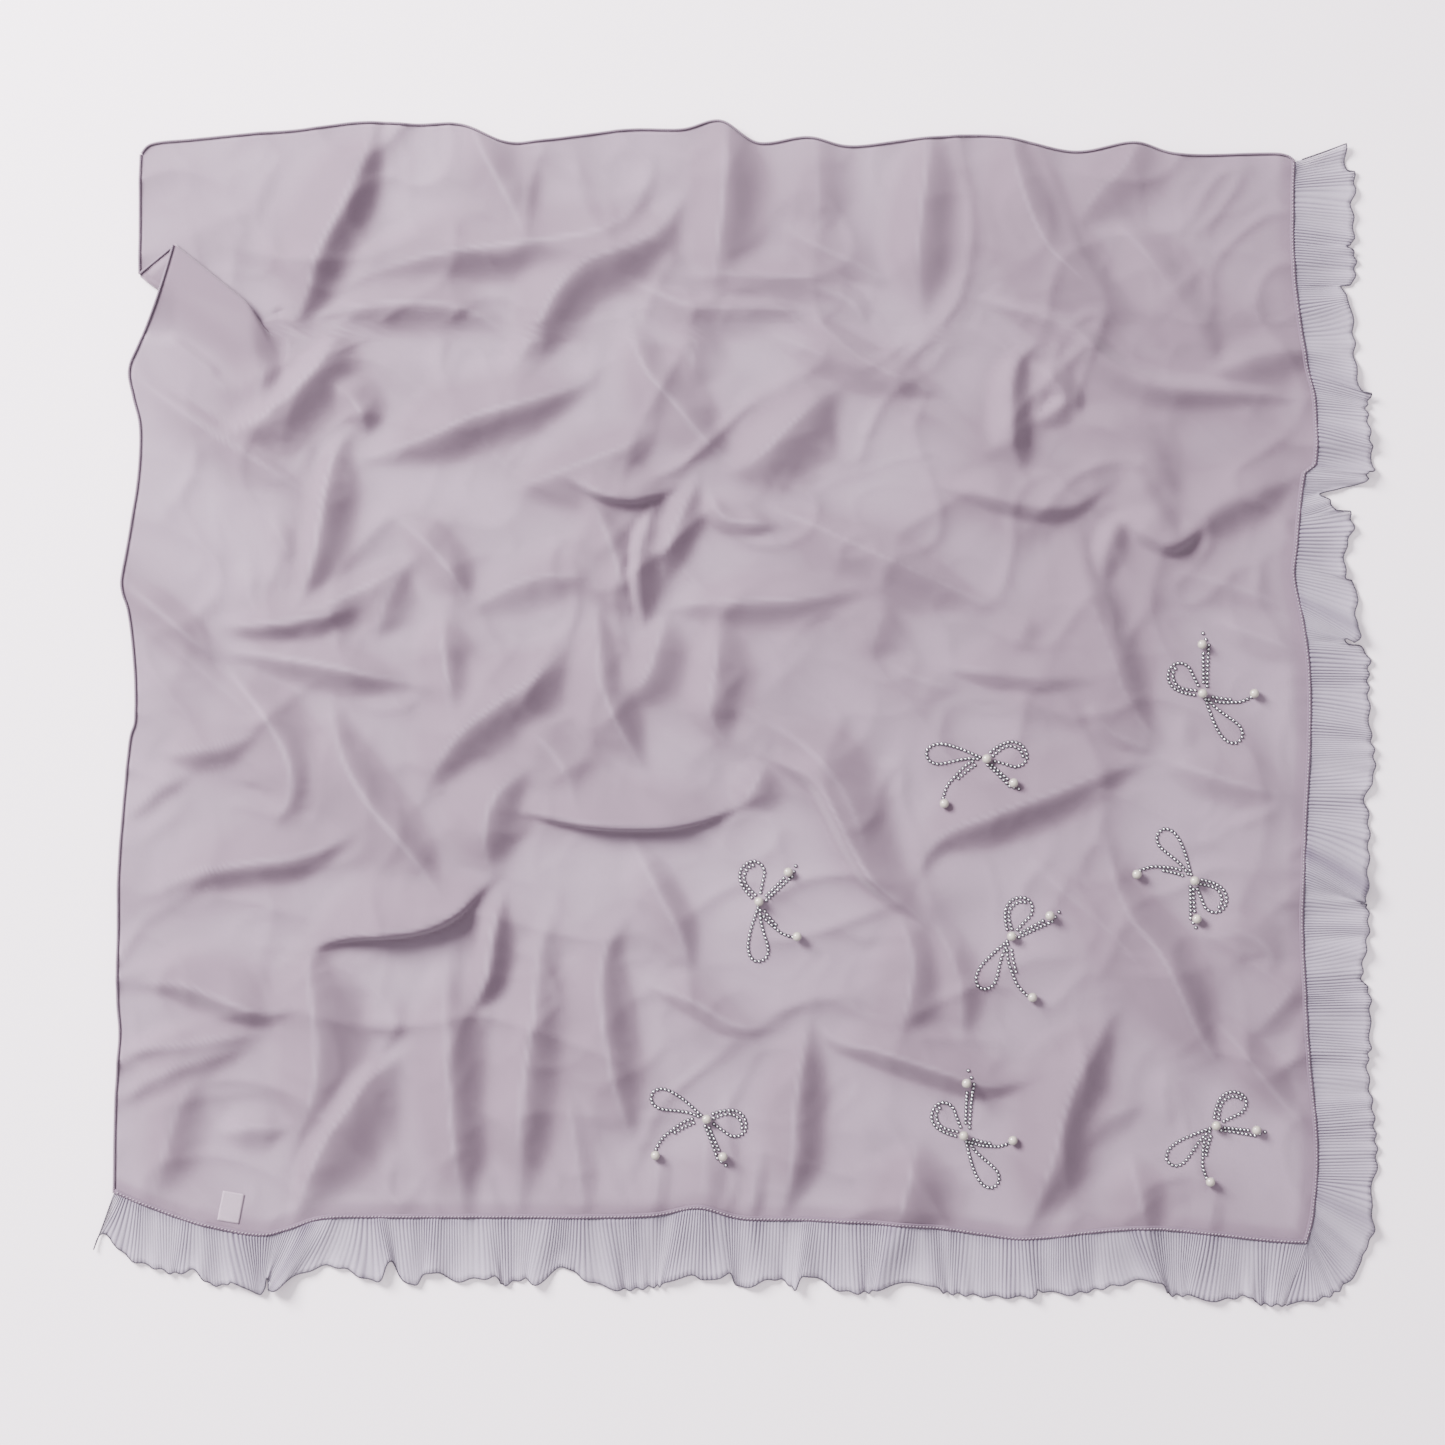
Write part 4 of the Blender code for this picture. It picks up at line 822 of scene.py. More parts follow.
def buildDotTree(name, material):
    # Small rounded pieces on points, each turned to its own facing and along directions
    tree = bpy.data.node_groups.new(name, "GeometryNodeTree")
    face = tree.interface
    face.new_socket("Geometry", in_out="INPUT", socket_type="NodeSocketGeometry")
    sizes = (("Width", 0.003), ("Length", 0.003), ("Height", 0.002))
    for label, value in sizes:
        socket = face.new_socket(label, in_out="INPUT", socket_type="NodeSocketFloat")
        socket.default_value = value
    sides = face.new_socket("Sides", in_out="INPUT", socket_type="NodeSocketInt")
    sides.default_value = 8
    face.new_socket("Geometry", in_out="OUTPUT", socket_type="NodeSocketGeometry")
    source = addNode(tree, "NodeGroupInput")
    result = addNode(tree, "NodeGroupOutput")
    ball = addNode(tree, "GeometryNodeMeshUVSphere")
    ball.inputs["Rings"].default_value = 5
    ball.inputs["Radius"].default_value = 0.5
    tree.links.new(source.outputs["Sides"], ball.inputs["Segments"])
    turns = []
    for label, axis in (("facing", "Z"), ("along", "X")):
        direction = addNode(tree, "GeometryNodeInputNamedAttribute", data_type="FLOAT_VECTOR")
        direction.inputs["Name"].default_value = label
        turn = addNode(tree, "FunctionNodeAlignRotationToVector", axis=axis)
        if turns:
            turn.pivot_axis = "Z"
            tree.links.new(turns[-1].outputs["Rotation"], turn.inputs["Rotation"])
        tree.links.new(direction.outputs["Attribute"], turn.inputs["Vector"])
        turns.append(turn)
    size = addNode(tree, "ShaderNodeCombineXYZ")
    for label, socket in (("Length", "X"), ("Width", "Y"), ("Height", "Z")):
        tree.links.new(source.outputs[label], size.inputs[socket])
    spread = addNode(tree, "GeometryNodeInstanceOnPoints")
    tree.links.new(source.outputs["Geometry"], spread.inputs["Points"])
    tree.links.new(ball.outputs["Mesh"], spread.inputs["Instance"])
    tree.links.new(turns[-1].outputs["Rotation"], spread.inputs["Rotation"])
    tree.links.new(size.outputs["Vector"], spread.inputs["Scale"])
    real = addNode(tree, "GeometryNodeRealizeInstances")
    tree.links.new(spread.outputs["Instances"], real.inputs["Geometry"])
    soft = addNode(tree, "GeometryNodeSetShadeSmooth")
    tree.links.new(real.outputs["Geometry"], soft.inputs["Geometry"])
    dress = addNode(tree, "GeometryNodeSetMaterial")
    dress.inputs["Material"].default_value = material
    tree.links.new(soft.outputs["Geometry"], dress.inputs["Geometry"])
    tree.links.new(dress.outputs["Geometry"], result.inputs["Geometry"])
    return tree


def dotsOn(name, spots, facing, along, values, material):
    # One mesh of small rounded pieces at the spots, in mm
    seed = bpy.data.meshes.new(name + "Spots")
    seed.from_pydata((np.asarray(spots) * mm).tolist(), [], [])
    for label, directions in (("facing", facing), ("along", along)):
        attribute = seed.attributes.new(label, "FLOAT_VECTOR", "POINT")
        attribute.data.foreach_set("vector", np.asarray(directions, float).ravel())
    holder = bpy.data.objects.new(name + "Spots", seed)
    bpy.context.scene.collection.objects.link(holder)
    tree = buildDotTree(name + "Tree", material)
    modifier = holder.modifiers.new("dots", "NODES")
    modifier.node_group = tree
    for item in tree.interface.items_tree:
        if item.item_type == "SOCKET" and item.in_out == "INPUT" and item.name in values:
            modifier[item.identifier] = values[item.name]
    graph = bpy.context.evaluated_depsgraph_get()
    mesh = bpy.data.meshes.new_from_object(holder.evaluated_get(graph))
    mesh.name = name
    bpy.data.objects.remove(holder, do_unlink=True)
    item = bpy.data.objects.new(name, mesh)
    bpy.context.scene.collection.objects.link(item)
    return item


# Panel
grid, crestLine, footLine = panelGrid(panelValues)
# Where another layer shows through: the seam allowance's width and fade, and the doubled flap
underValues = {
    "bandWidth": 19.0, "bandFade": 11.0, "bandShare": 0.7, "flapFade": 7.0, "endOffset": 8.0,
    "endFade": 16.0, "firstRow": 8.0, "rowFade": 3.0, "middleRows": (3, 12), "share": 0.6,
}


def underMask(points, panel, values):
    right = np.linalg.norm(points - points[:, -1:], axis=2)
    bottom = np.linalg.norm(points - points[-1:], axis=2)
    band = smoothStep((values["bandWidth"] - np.minimum(right, bottom)) / values["bandFade"])
    x = points[:, :, 0]
    overlap = (points[:, :, 1] - lineAt(flapLines["low"], x)) / values["flapFade"]
    beforeEnd = smoothStep((panel["flapEnd"] - values["endOffset"] - x) / values["endFade"])
    doubled = smoothStep(overlap) * beforeEnd
    rows = np.arange(len(points))[:, None] - panel["rowsAbove"]
    below = smoothStep((rows - values["firstRow"]) / values["rowFade"])
    first, last = values["middleRows"]
    middle = np.where((rows > first) & (rows < last) & (x < panel["flapEnd"]), values["share"], 0.0)
    flap = np.maximum(doubled * below * values["share"], middle)
    return np.maximum(band * values["bandShare"], flap)


# Broad patches of painted shade where the cloth lies slack off the floor: centre, reach, share of the darker
# tone
paintedShadeAreas = [
    ((430, 330), 250, 0.34), ((270, 110), 190, 0.3), ((450, 220), 140, 0.16),
    ((440, -260), 230, 0.16), ((80, 330), 170, 0.12), ((150, -330), 180, 0.08),
    ((-330, 330), 110, 0.12), ((-140, 60), 150, 0.1),
]
# Painted shade on sheer cloth off the floor, sloping or at fold feet, and a painted highlight on crests
shadingPaintValues = {
    "slope": 0.34, "broad": 0.75, "broadPasses": 9, "height": 0.16, "foot": 0.25, "crest": 0.45,
    "leastUp": 0.2, "steepest": 0.85, "broadSteepest": 0.8, "slopeRise": 10.0, "broadHeight": 9.0,
    "tallest": 24.0,
}


def liftedMask(points, crestLine, footLine, values):
    upward = np.clip(np.abs(gridNormals(points)[:, :, 2]), values["leastUp"], 1.0)
    slope = np.sqrt(1.0 / upward ** 2 - 1.0)
    broad = np.clip(points[:, :, 2] - panelValues["restHeight"], 0.0, values["broadHeight"])
    broad = broad + np.clip(slope, 0.0, values["broadSteepest"]) * values["slopeRise"]
    for _ in range(values["broadPasses"]):
        wide = np.pad(broad, 2, mode="edge")
        broad = (wide[:-4, 2:-2] + wide[4:, 2:-2] + wide[2:-2, :-4] + wide[2:-2, 4:]) * 0.25
    mask = np.clip(slope / values["steepest"], 0.0, 1.0) * values["slope"]
    mask = mask + np.clip(broad / values["broadHeight"], 0.0, 1.0) * values["broad"]
    mask += np.clip(points[:, :, 2] / values["tallest"], 0.0, 1.0) * values["height"]
    # Painted shadow along the feet of folds, painted highlight along their crests
    mask += values["foot"] * footLine - values["crest"] * crestLine
    for (x, y), reach, share in paintedShadeAreas:
        away = ((points[:, :, 0] - x) ** 2 + (points[:, :, 1] - y) ** 2) / reach ** 2
        mask += share * np.exp(-away)
    return np.clip(mask, 0.0, 1.0)


turned = (
    panelValues["rowsAbove"] - 6,
    panelValues["rowsAbove"] + (len(flapRows) - 1) * panelValues["rowsBetween"] + 2,
    panelValues["flapEnd"],
)
masks = {
    "under": underMask(grid, panelValues, underValues),
    "lifted": liftedMask(grid, crestLine, footLine, shadingPaintValues),
}
panel = clothShell("panelCloth", grid, turned, chiffon, masks, panelValues)
rows, columns = grid.shape[:2]
quads = quadsOf(np.arange(rows * columns).reshape(rows, columns))
surface = BVHTree.FromPolygons(grid.reshape(-1, 3).tolist(), quads.tolist())
print("panel laid", rows, columns)


def onCloth(spots, lift):
    # The spots dropped on the panel from above, with the cloth's own normal
    found = []
    normals = []
    for x, y in spots:
        hit, normal = surface.ray_cast(Vector((x, y, 200.0)), Vector((0.0, 0.0, -1.0)))[:2]
        if hit is None:
            hit, normal = Vector((x, y, 0.0)), Vector((0.0, 0.0, 1.0))
        if normal.z < 0.0:
            normal = -normal
        found.append(hit + normal * lift)
        normals.append(normal)
    return np.array([tuple(p) for p in found]), np.array([tuple(n) for n in normals])


# Frill: a crinkled strip gathered under the right and bottom seams
frillValues = {
    "columns": 3200, "rows": 12, "wall": 0.22, "edgeSteps": 4000, "gatherWindow": 61,
    "gatherShare": 0.72, "pleatPitch": 2.9, "pleatDepth": 1.1, "pleatFade": 0.35, "underSeam": 2.0,
    "fan": 3.4, "wavePitch": 41.0, "waveHeight": 5.0, "ripplePitch": 17.0, "edgeRipple": 1.1,
    "edgeCurl": 1.8, "seamTone": 0.35, "toneFade": 0.3, "tuckLiftWidth": 0.6, "tuckShadeWidth": 0.3,
    "tuckShadeShift": 0.2, "seamDrop": 0.3, "leastHeight": 0.2, "clearance": 0.25,
}
frillRightEdge = [
    (560, 522), (561, 498), (566, 503), (569, 483), (565, 464), (568, 454), (566, 433), (561, 430),
    (569, 420), (567, 394), (557, 392), (561, 379), (567, 360), (569, 313), (578, 308), (578, 289),
    (581, 270), (585, 237), (586, 225), (575, 211), (554, 205), (537, 198), (544, 188), (550, 178),
    (558, 183), (567, 168), (561, 156), (561, 136), (568, 133), (569, 121), (563, 113), (566, 106),
    (564, 88), (560, 67), (573, 63), (582, 50), (581, 35), (582, 0), (587, -55), (578, -76), (582, -98),
    (580, -137), (573, -165), (580, -173), (581, -210), (575, -243), (582, -259), (582, -298),
    (580, -326), (586, -374), (589, -414), (584, -438), (587, -460), (584, -475), (577, -490),
    (575, -505), (559, -527), (538, -539), (505, -545),
]
frillBottomEdge = [
    (-590, -493), (-585, -481), (-576, -484), (-558, -502), (-536, -510), (-509, -518), (-494, -514),
    (-485, -525), (-469, -527), (-463, -523), (-445, -535), (-428, -530), (-420, -516), (-390, -521),
    (-360, -509), (-335, -523), (-325, -505), (-298, -527), (-274, -514), (-259, -523), (-226, -519),
    (-217, -527), (-193, -521), (-175, -525), (-158, -510), (-141, -521), (-114, -531), (-68, -527),
    (-38, -517), (-29, -523), (-13, -514), (3, -529), (36, -521), (61, -530), (73, -518), (97, -532),
    (136, -533), (169, -525), (188, -533), (227, -537), (267, -537), (273, -532), (309, -535),
    (346, -527), (364, -523), (392, -535), (422, -537), (443, -541), (471, -537), (480, -544),
    (505, -545),
]
# Tucks across the frill: place along the seam, half width, slant of the outer end, lift, depth of the darker
# tone (the tuck's folded cloth with painted shade to one side)
rightTucks = [
    (60, 14, 6, 1.5, 0.1), (140, 12, -7, 2, 0.15), (197, 24, 16, 4, 0.45), (246, 16, 10, 3, 0.3),
    (283, 12, 8, 5, 0.5), (330, 14, -8, 2, 0.15), (372, 16, 9, 2, 0.2), (414, 26, 30, 6, 0.6),
    (440, 10, -5, 3, 0.3), (520, 20, 8, 2, 0.15), (648, 28, 34, 6, 0.75), (735, 15, -8, 2.5, 0.25),
    (812, 14, 7, 2, 0.3), (880, 16, -7, 2, 0.15), (962, 18, 12, 4, 0.55),
]
bottomTucks = [
    (70, 14, -7, 2, 0.15), (128, 12, 6, 2.5, 0.2), (190, 30, -36, 6, 0.6), (252, 13, 8, 4, 0.3),
    (300, 12, -6, 3, 0.2), (350, 12, 7, 3, 0.2), (402, 13, -8, 3, 0.25), (462, 14, 8, 3, 0.2),
    (530, 16, -15, 3.5, 0.4), (566, 12, 8, 3, 0.25), (650, 14, -9, 3, 0.2), (729, 20, -15, 4.5, 0.55),
    (760, 12, 7, 3, 0.25), (846, 14, 8, 3, 0.2), (952, 22, 20, 4, 0.45), (1010, 14, -8, 3, 0.2),
]
# Places along the outer edge and the places on the seam that they are gathered to, from each strip's start
rightMatch = [(-521, -505), (-470, -470), (430, 430), (545, 488)]
bottomMatch = [(-590, -571), (-540, -540), (480, 480), (505, 524)]


def frillGrid(seam, outerPoints, match, tucks, values, seed):
    # Rows of points from the seam to the wavy outer edge of one strip, and a darker-tone mask: denser cloth
    # with painted shade in the pleat valleys, painted shade beside the tucks, and darker near the seam
    count = values["columns"]
    inner = resample(seam, count)
    axis, sign = (1, -1.0) if match is rightMatch else (0, 1.0)
    edge = resample(outerPoints, values["edgeSteps"])
    sewnAt = np.interp(edge[:, axis] * sign, *zip(*match))
    sewnAt = np.maximum.accumulate(sewnAt) + np.arange(len(sewnAt)) * 1e-5
    outer = np.column_stack([np.interp(inner[:, axis] * sign, sewnAt, edge[:, i]) for i in range(2)])
    # Columns closer together where the strip fans out, as round the corner
    steps = np.linalg.norm(np.diff(inner[:, :2], axis=0), axis=1)
    outerSteps = np.linalg.norm(np.diff(outer, axis=0), axis=1)
    window = np.ones(values["gatherWindow"]) / values["gatherWindow"]
    padded = np.pad(outerSteps, values["gatherWindow"] // 2, mode="edge")
    outerSteps = np.convolve(padded, window, "valid")[:count - 1]
    fanned = np.maximum(steps, outerSteps * values["gatherShare"])
    gathered = np.concatenate([[0.0], np.cumsum(fanned)])
    seamPlace = np.concatenate([[0.0], np.cumsum(steps)])
    travelled = np.linspace(0.0, gathered[-1], count)
    inner = np.column_stack([np.interp(travelled, gathered, inner[:, i]) for i in range(3)])
    outer = np.column_stack([np.interp(travelled, gathered, outer[:, i]) for i in range(2)])
    seamPlace = np.interp(travelled, gathered, seamPlace)
    along = np.gradient(inner[:, :2], axis=0)
    along /= np.linalg.norm(along, axis=1, keepdims=True)
    outward = outer - inner[:, :2]
    outward /= np.linalg.norm(outward, axis=1, keepdims=True)
    random = np.random.default_rng(seed)

    def drift(*waves):
        turns = random.uniform(0.0, 6.28, len(waves))
        return sum(size * np.sin(travelled / length + turn) for (size, length), turn in zip(waves, turns))

    # Each drift is a list of slow waves: size and length
    phase = 2.0 * math.pi * travelled
    wave = 0.5 + 0.5 * np.sin(phase / values["wavePitch"] + drift((1.5, 31), (1.1, 17), (0.8, 53)))
    swell = 0.55 + drift((0.25, 71), (0.2, 43))
    ripple = np.sin(phase / values["ripplePitch"] + drift((1.8, 23), (1.2, 11)))
    stray = drift((2.4, 19), (1.6, 9.0), (0.9, 5.2))
    fan = drift((values["fan"], 33), (values["fan"] * 0.6, 14), (values["fan"] * 0.3, 6.5))
    strength = np.clip(0.7 + drift((0.18, 23), (0.2, 9.5), (0.18, 3.7)), 0.3, 1.0)
    grid = []
    pleatDensityAndShade = []
    for share in np.linspace(0.0, 1.0, values["rows"]):
        start = inner[:, :2] - outward * values["underSeam"]
        edgeRipple = ripple * values["edgeRipple"] * share ** 2
        flat = start + (outer + outward * edgeRipple[:, None] - start) * share
        lift = values["waveHeight"] * np.clip(swell, 0.1, 1.0) * wave * share ** 1.5
        lift = lift + values["edgeCurl"] * (0.5 + 0.5 * ripple) * share ** 5
        pleat = np.abs(np.sin(math.pi * (travelled + stray + fan * share ** 1.4) / values["pleatPitch"]))
        # Darker in the pleat valleys: denser gathered cloth and painted shade
        tone = (1.0 - pleat) ** 0.9 * strength * (1.0 - values["toneFade"] * share)
        for where, width, slant, rise, tuckShade in tucks:
            away = seamPlace - where
            bell = np.exp(-(away / width) ** 2)
            flat = flat + along * (slant * bell * share ** 1.2)[:, None]
            narrow = np.exp(-(away / (width * values["tuckLiftWidth"])) ** 2)
            lift = lift + rise * narrow * share ** 0.7
            # The tuck's darker tone sits to one side of its lift as painted shade
            shaded = (away + width * values["tuckShadeShift"]) / (width * values["tuckShadeWidth"])
            tone = np.maximum(tone, tuckShade * np.exp(-shaded ** 2))
        base = inner[:, 2] * (1.0 - smoothStep(share * 1.2)) * (1.0 - 0.2 * share)
        base = base - (1.0 - share) * values["seamDrop"]
        depth = values["pleatDepth"] * pleat * strength * (1.0 - values["pleatFade"] * share ** 2)
        height = base + lift + depth + values["clearance"]
        grid.append(np.column_stack([flat, np.maximum(height, values["leastHeight"])]))
        pleatDensityAndShade.append(tone + values["seamTone"] * (1.0 - smoothStep(share * 4.0)))
    return np.array(grid), np.clip(np.array(pleatDensityAndShade), 0.0, 1.0)


rightSeam = grid[:, -1]
bottomSeam = grid[-1]
frills = {}
for name, seam, edge, match, tucks, seed in (
    ("frillRightCloth", rightSeam, frillRightEdge, rightMatch, rightTucks, 3),
    ("frillBottomCloth", bottomSeam, frillBottomEdge, bottomMatch, bottomTucks, 8),
):
    points, mask = frillGrid(seam, edge, match, tucks, frillValues, seed)
    # The frill's under mask holds denser pleat cloth and painted shade
    piece = gridShell(name, points, frillValues["wall"], frillCloth, {"under": mask}, (1.3, 0.07))
    frills[name] = (piece, points)
print("frill gathered")


# Overlocked outer edge of the frill, and the merrowed hems
edgeValues = {
    "frillRadius": 0.62, "frillPitch": 1.5, "hemRadius": 1.15, "hemPitch": 1.7, "swell": 0.28,
    "hemLift": 0.6, "hemOut": 0.7,
}


def wrappedThread(name, path, radius, pitch, material, sides=6):
    # A bead of thread wraps: its radius swells and falls at each wrap
    travelled = np.concatenate([[0.0], np.cumsum(np.linalg.norm(np.diff(path, axis=0), axis=1))])
    count = int(travelled[-1] / pitch * 4.0)
    wanted = np.linspace(0.0, travelled[-1], count)
    fine = np.column_stack([np.interp(wanted, travelled, path[:, i]) for i in range(3)])
    radii = radius * (1.0 + edgeValues["swell"] * np.sin(2.0 * math.pi * wanted / pitch))
    fine[:, 2] = np.maximum(fine[:, 2], radii + 0.02)
    return tube(name, fine, radii, sides, material)


edgePieces = {}
for name, (piece, points) in frills.items():
    side = name.replace("Cloth", "Edge")
    firstRow = 0 if name == "frillBottomCloth" else 2
    path = np.concatenate([points[firstRow:, 0][:-1], points[-1][::2]])
    edgePieces[name] = wrappedThread(
        side, path, edgeValues["frillRadius"], edgeValues["frillPitch"], edgeThread, 5)
hemRadius = edgeValues["hemRadius"]
hemPitch = edgeValues["hemPitch"]
hemOut = hemRadius * edgeValues["hemOut"]
hemLift = np.array((0.0, 0.0, hemRadius * edgeValues["hemLift"]))
hemTop = wrappedThread("hemTopThread", grid[0] + hemLift + (0.0, hemOut, 0.0), hemRadius, hemPitch, hemThread)
# The left hem in three runs of rows: above the flap, on the flap and below it
flapStart = panelValues["rowsAbove"] - 1
betweenRows = panelValues["rowsBetween"]
middleStart = flapStart + betweenRows * 2
lowerStart = flapStart + betweenRows * 5
leftLine = grid[:, 0] + hemLift + (-hemOut, 0.0, 0.0)
hemLeftPieces = [
    wrappedThread(name, leftLine[first:last], hemRadius, hemPitch, hemThread)
    for name, first, last in (
        ("hemLeftUpperThread", 0, flapStart + 1),
        ("hemLeftMiddleThread", middleStart, middleStart + betweenRows + 1),
        ("hemLeftLowerThread", lowerStart, len(leftLine)),
    )
]
print("edges overlocked")


# Turned edge of the panel over the frill, with its twisted stitch line
seamValues = {
    "width": 4.4, "crown": 1.1, "lift": 0.5, "wall": 0.3, "rows": 6, "overEdge": 0.4, "cut": (1.0, 0.006),
    "stitchPitch": 3.2, "stitchFromEdge": 1.5, "stitchLift": 0.3, "stitchSlant": 24.0,
    "stitchWidth": 1.3, "stitchLength": 2.1, "stitchHeight": 1.1,
}


def seamFold(name, edge, inside, values):
    inward = inside - edge
    inward[:, 2] = 0.0
    length = np.linalg.norm(inward, axis=1, keepdims=True)
    slope = (inside[:, 2:] - edge[:, 2:]) / length
    inward /= length
    strip = []
    for share in np.linspace(0.0, 1.0, values["rows"]):
        away = share * values["width"]
        spot = edge + inward * (away - values["overEdge"])
        crown = values["crown"] * math.sin(math.pi * min(1.0, 0.12 + share * 0.88)) ** 0.6
        spot[:, 2] = edge[:, 2] + slope[:, 0] * away + values["lift"] + crown
        strip.append(spot)
    piece = gridShell(name, np.array(strip), values["wall"], seamCloth, None, values["cut"])
    at = edge + inward * values["stitchFromEdge"]
    at[:, 2] = edge[:, 2] + slope[:, 0] * values["stitchFromEdge"]
    at[:, 2] += values["lift"] + values["crown"] + values["stitchLift"]
    return piece, at


def stitchLine(name, path, values):
    travelled = np.concatenate([[0.0], np.cumsum(np.linalg.norm(np.diff(path, axis=0), axis=1))])
    wanted = np.arange(values["stitchPitch"], travelled[-1], values["stitchPitch"])
    spots = np.column_stack([np.interp(wanted, travelled, path[:, i]) for i in range(3)])
    along = np.gradient(spots, axis=0)
    along /= np.linalg.norm(along, axis=1, keepdims=True)
    slant = math.radians(values["stitchSlant"])
    turned = np.column_stack([
        along[:, 0] * math.cos(slant) - along[:, 1] * math.sin(slant),
        along[:, 0] * math.sin(slant) + along[:, 1] * math.cos(slant), along[:, 2],
    ])
    facing = np.tile((0.0, 0.0, 1.0), (len(spots), 1))
    sizes = {
        "Width": values["stitchWidth"] * mm, "Length": values["stitchLength"] * mm,
        "Height": values["stitchHeight"] * mm, "Sides": 6,
    }
    return dotsOn(name, spots, facing, turned, sizes, seamThread)


seamRight, stitchRightPath = seamFold("seamRightFold", grid[:, -1].copy(), grid[:, -2].copy(), seamValues)
seamBottom, stitchBottomPath = seamFold("seamBottomFold", grid[-1].copy(), grid[-2].copy(), seamValues)
stitchRight = stitchLine("seamRightStitches", stitchRightPath, seamValues)
stitchBottom = stitchLine("seamBottomStitches", stitchBottomPath, seamValues)
print("seams stitched")


# Bare care label beside the bottom seam
labelValues = {
    "centre": (-464.0, -455.0), "width": 20.0, "length": 27.0, "turn": -10.0, "wall": 0.25,
    "lift": 0.45, "wave": 0.25, "waveLength": 5.0,
}


def layLabel(values):
    turn = math.radians(values["turn"])
    across = np.linspace(-0.5, 0.5, 12) * values["width"]
    down = np.linspace(0.5, -0.5, 16) * values["length"]
    dx, dy = np.meshgrid(across, down)
    x = values["centre"][0] + dx * math.cos(turn) - dy * math.sin(turn)
    y = values["centre"][1] + dx * math.sin(turn) + dy * math.cos(turn)
    spots = onCloth(np.column_stack([x.ravel(), y.ravel()]), values["lift"])[0]
    points = spots.reshape(*x.shape, 3)
    wave = values["wave"] * np.sin(dx / values["waveLength"])
    points[:, :, 2] += wave * (0.5 + dy / values["length"])
    return gridShell("careTab", points, values["wall"], labelCloth, None, (0.02, 0.027))


label = layLabel(labelValues)

# Bow of studs in mm from its knot, before it is turned: each run of studs with smooth bends
bowRuns = {
    "singleLoop": [
        (-6, 1.5), (-13.6, 4.8), (-24.2, 9.2), (-35.2, 12.6), (-42.7, 13.5), (-49.7, 12.3), (-54.7, 7.3),
        (-53.5, -0.4), (-47.1, -4.4), (-39.4, -4.2), (-28.3, -1.8), (-17.2, 0), (-8.2, -0.4),
    ],
    "outerLoop": [
        (4, 6.2), (10.1, 10.8), (16.3, 14.1), (23.1, 15.6), (30.2, 13.8), (35.4, 8.4), (37.1, 1.3),
        (33.4, -5), (26, -7.5), (18.7, -5.5), (7.9, -2.4),
    ],
    "innerLoop": [(6.2, 2.6), (11.3, 7), (17.4, 10.8), (23.9, 11.4), (30.8, 7.9), (33.4, 2.4)],
}
shortTailRuns = [[(1.1, -5.9), (10.4, -15.2), (20.2, -25.6)], [(4.8, -5.9), (11.6, -12.4), (18.5, -18.9)]]
shortTailEnds = [(24.2, -26.8), (28.6, -28.2)]
longTailRuns = [
    [
        (-12.8, -2.6), (-19.1, -6.4), (-24.8, -11.7), (-29.9, -17.6), (-34.5, -22.9), (-37.6, -29.5),
        (-39.4, -35.6),
    ],
    [(-10.7, -5.9), (-18.1, -11.2), (-25.5, -17.6)],
]
tailPearls = {"short": (23.8, -22.4), "long": (-38.7, -40.5)}
# Name, knot, turn in degrees, pearl of the short tail, pearl of the long tail
bows = [
    ("a", (230, -43), 0, (254, -65), (191, -84)), ("b", (428, 17), 133, (428, 62), (476, 17)),
    ("c", (21, -174), 95, (48, -147), (56, -206)), ("d", (253, -206), 64, (288, -187), (272, -262)),
    ("e", (421, -155), -51, (423, -190), (368, -149)), ("f", (-27, -374), -19, (-12, -408), (-74, -407)),
    ("g", (209, -389), 127, (211, -340), (254, -393)), ("h", (441, -380), 43, (478, -384), (435, -431)),
]
# The rim sizes give the dark ring of painted shade round each dome
studValues = {
    "pitch": 3.7, "rim": 3.7, "shadeRingHeight": 1.4, "dome": 2.4, "domeHeight": 2.7, "lift": 0.3,
    "domeLift": 0.2, "knotRoom": 4.2, "pearlRoom": 3.6, "leastPitch": 0.72,
}


def evenRun(points, pitch):
    fine = resample(points, 200)
    length = np.linalg.norm(np.diff(fine, axis=0), axis=1).sum()
    return resample(points, max(2, round(length / pitch) + 1))


def tailTurn(run, template, knot, pearl):
    # Turns and stretches a tail so that it ends at its own pearl
    start = complex(*template)
    wanted = complex(pearl[0] - knot[0], pearl[1] - knot[1])
    factor = wanted / start
    turned = (run[:, 0] + 1j * run[:, 1]) * factor
    return np.column_stack([turned.real, turned.imag]) + knot


def bowStuds(knot, degrees, shortPearl, longPearl, pitch):
    turn = complex(math.cos(math.radians(degrees)), math.sin(math.radians(degrees)))
    spots = []
    for run in bowRuns.values():
        even = evenRun(run, pitch)
        turned = (even[:, 0] + 1j * even[:, 1]) * turn
        spots.append(np.column_stack([turned.real, turned.imag]) + knot)
    for run in shortTailRuns:
        spots.append(evenRun(tailTurn(np.array(run), tailPearls["short"], knot, shortPearl), pitch))
    spots.append(tailTurn(np.array(shortTailEnds), tailPearls["short"], knot, shortPearl))
    for run in longTailRuns:
        spots.append(evenRun(tailTurn(np.array(run), tailPearls["long"], knot, longPearl), pitch))
    spots = np.concatenate(spots)
    kept = []
    room = studValues["pearlRoom"]
    clear = [(knot, studValues["knotRoom"]), (shortPearl, room), (longPearl, room)]
    for spot in spots:
        nearPearl = any(math.dist(spot, centre) < away for centre, away in clear)
        nearStud = any(math.dist(spot, other) < pitch * studValues["leastPitch"] for other in kept)
        if not nearPearl and not nearStud:
            kept.append(tuple(spot))
    return kept


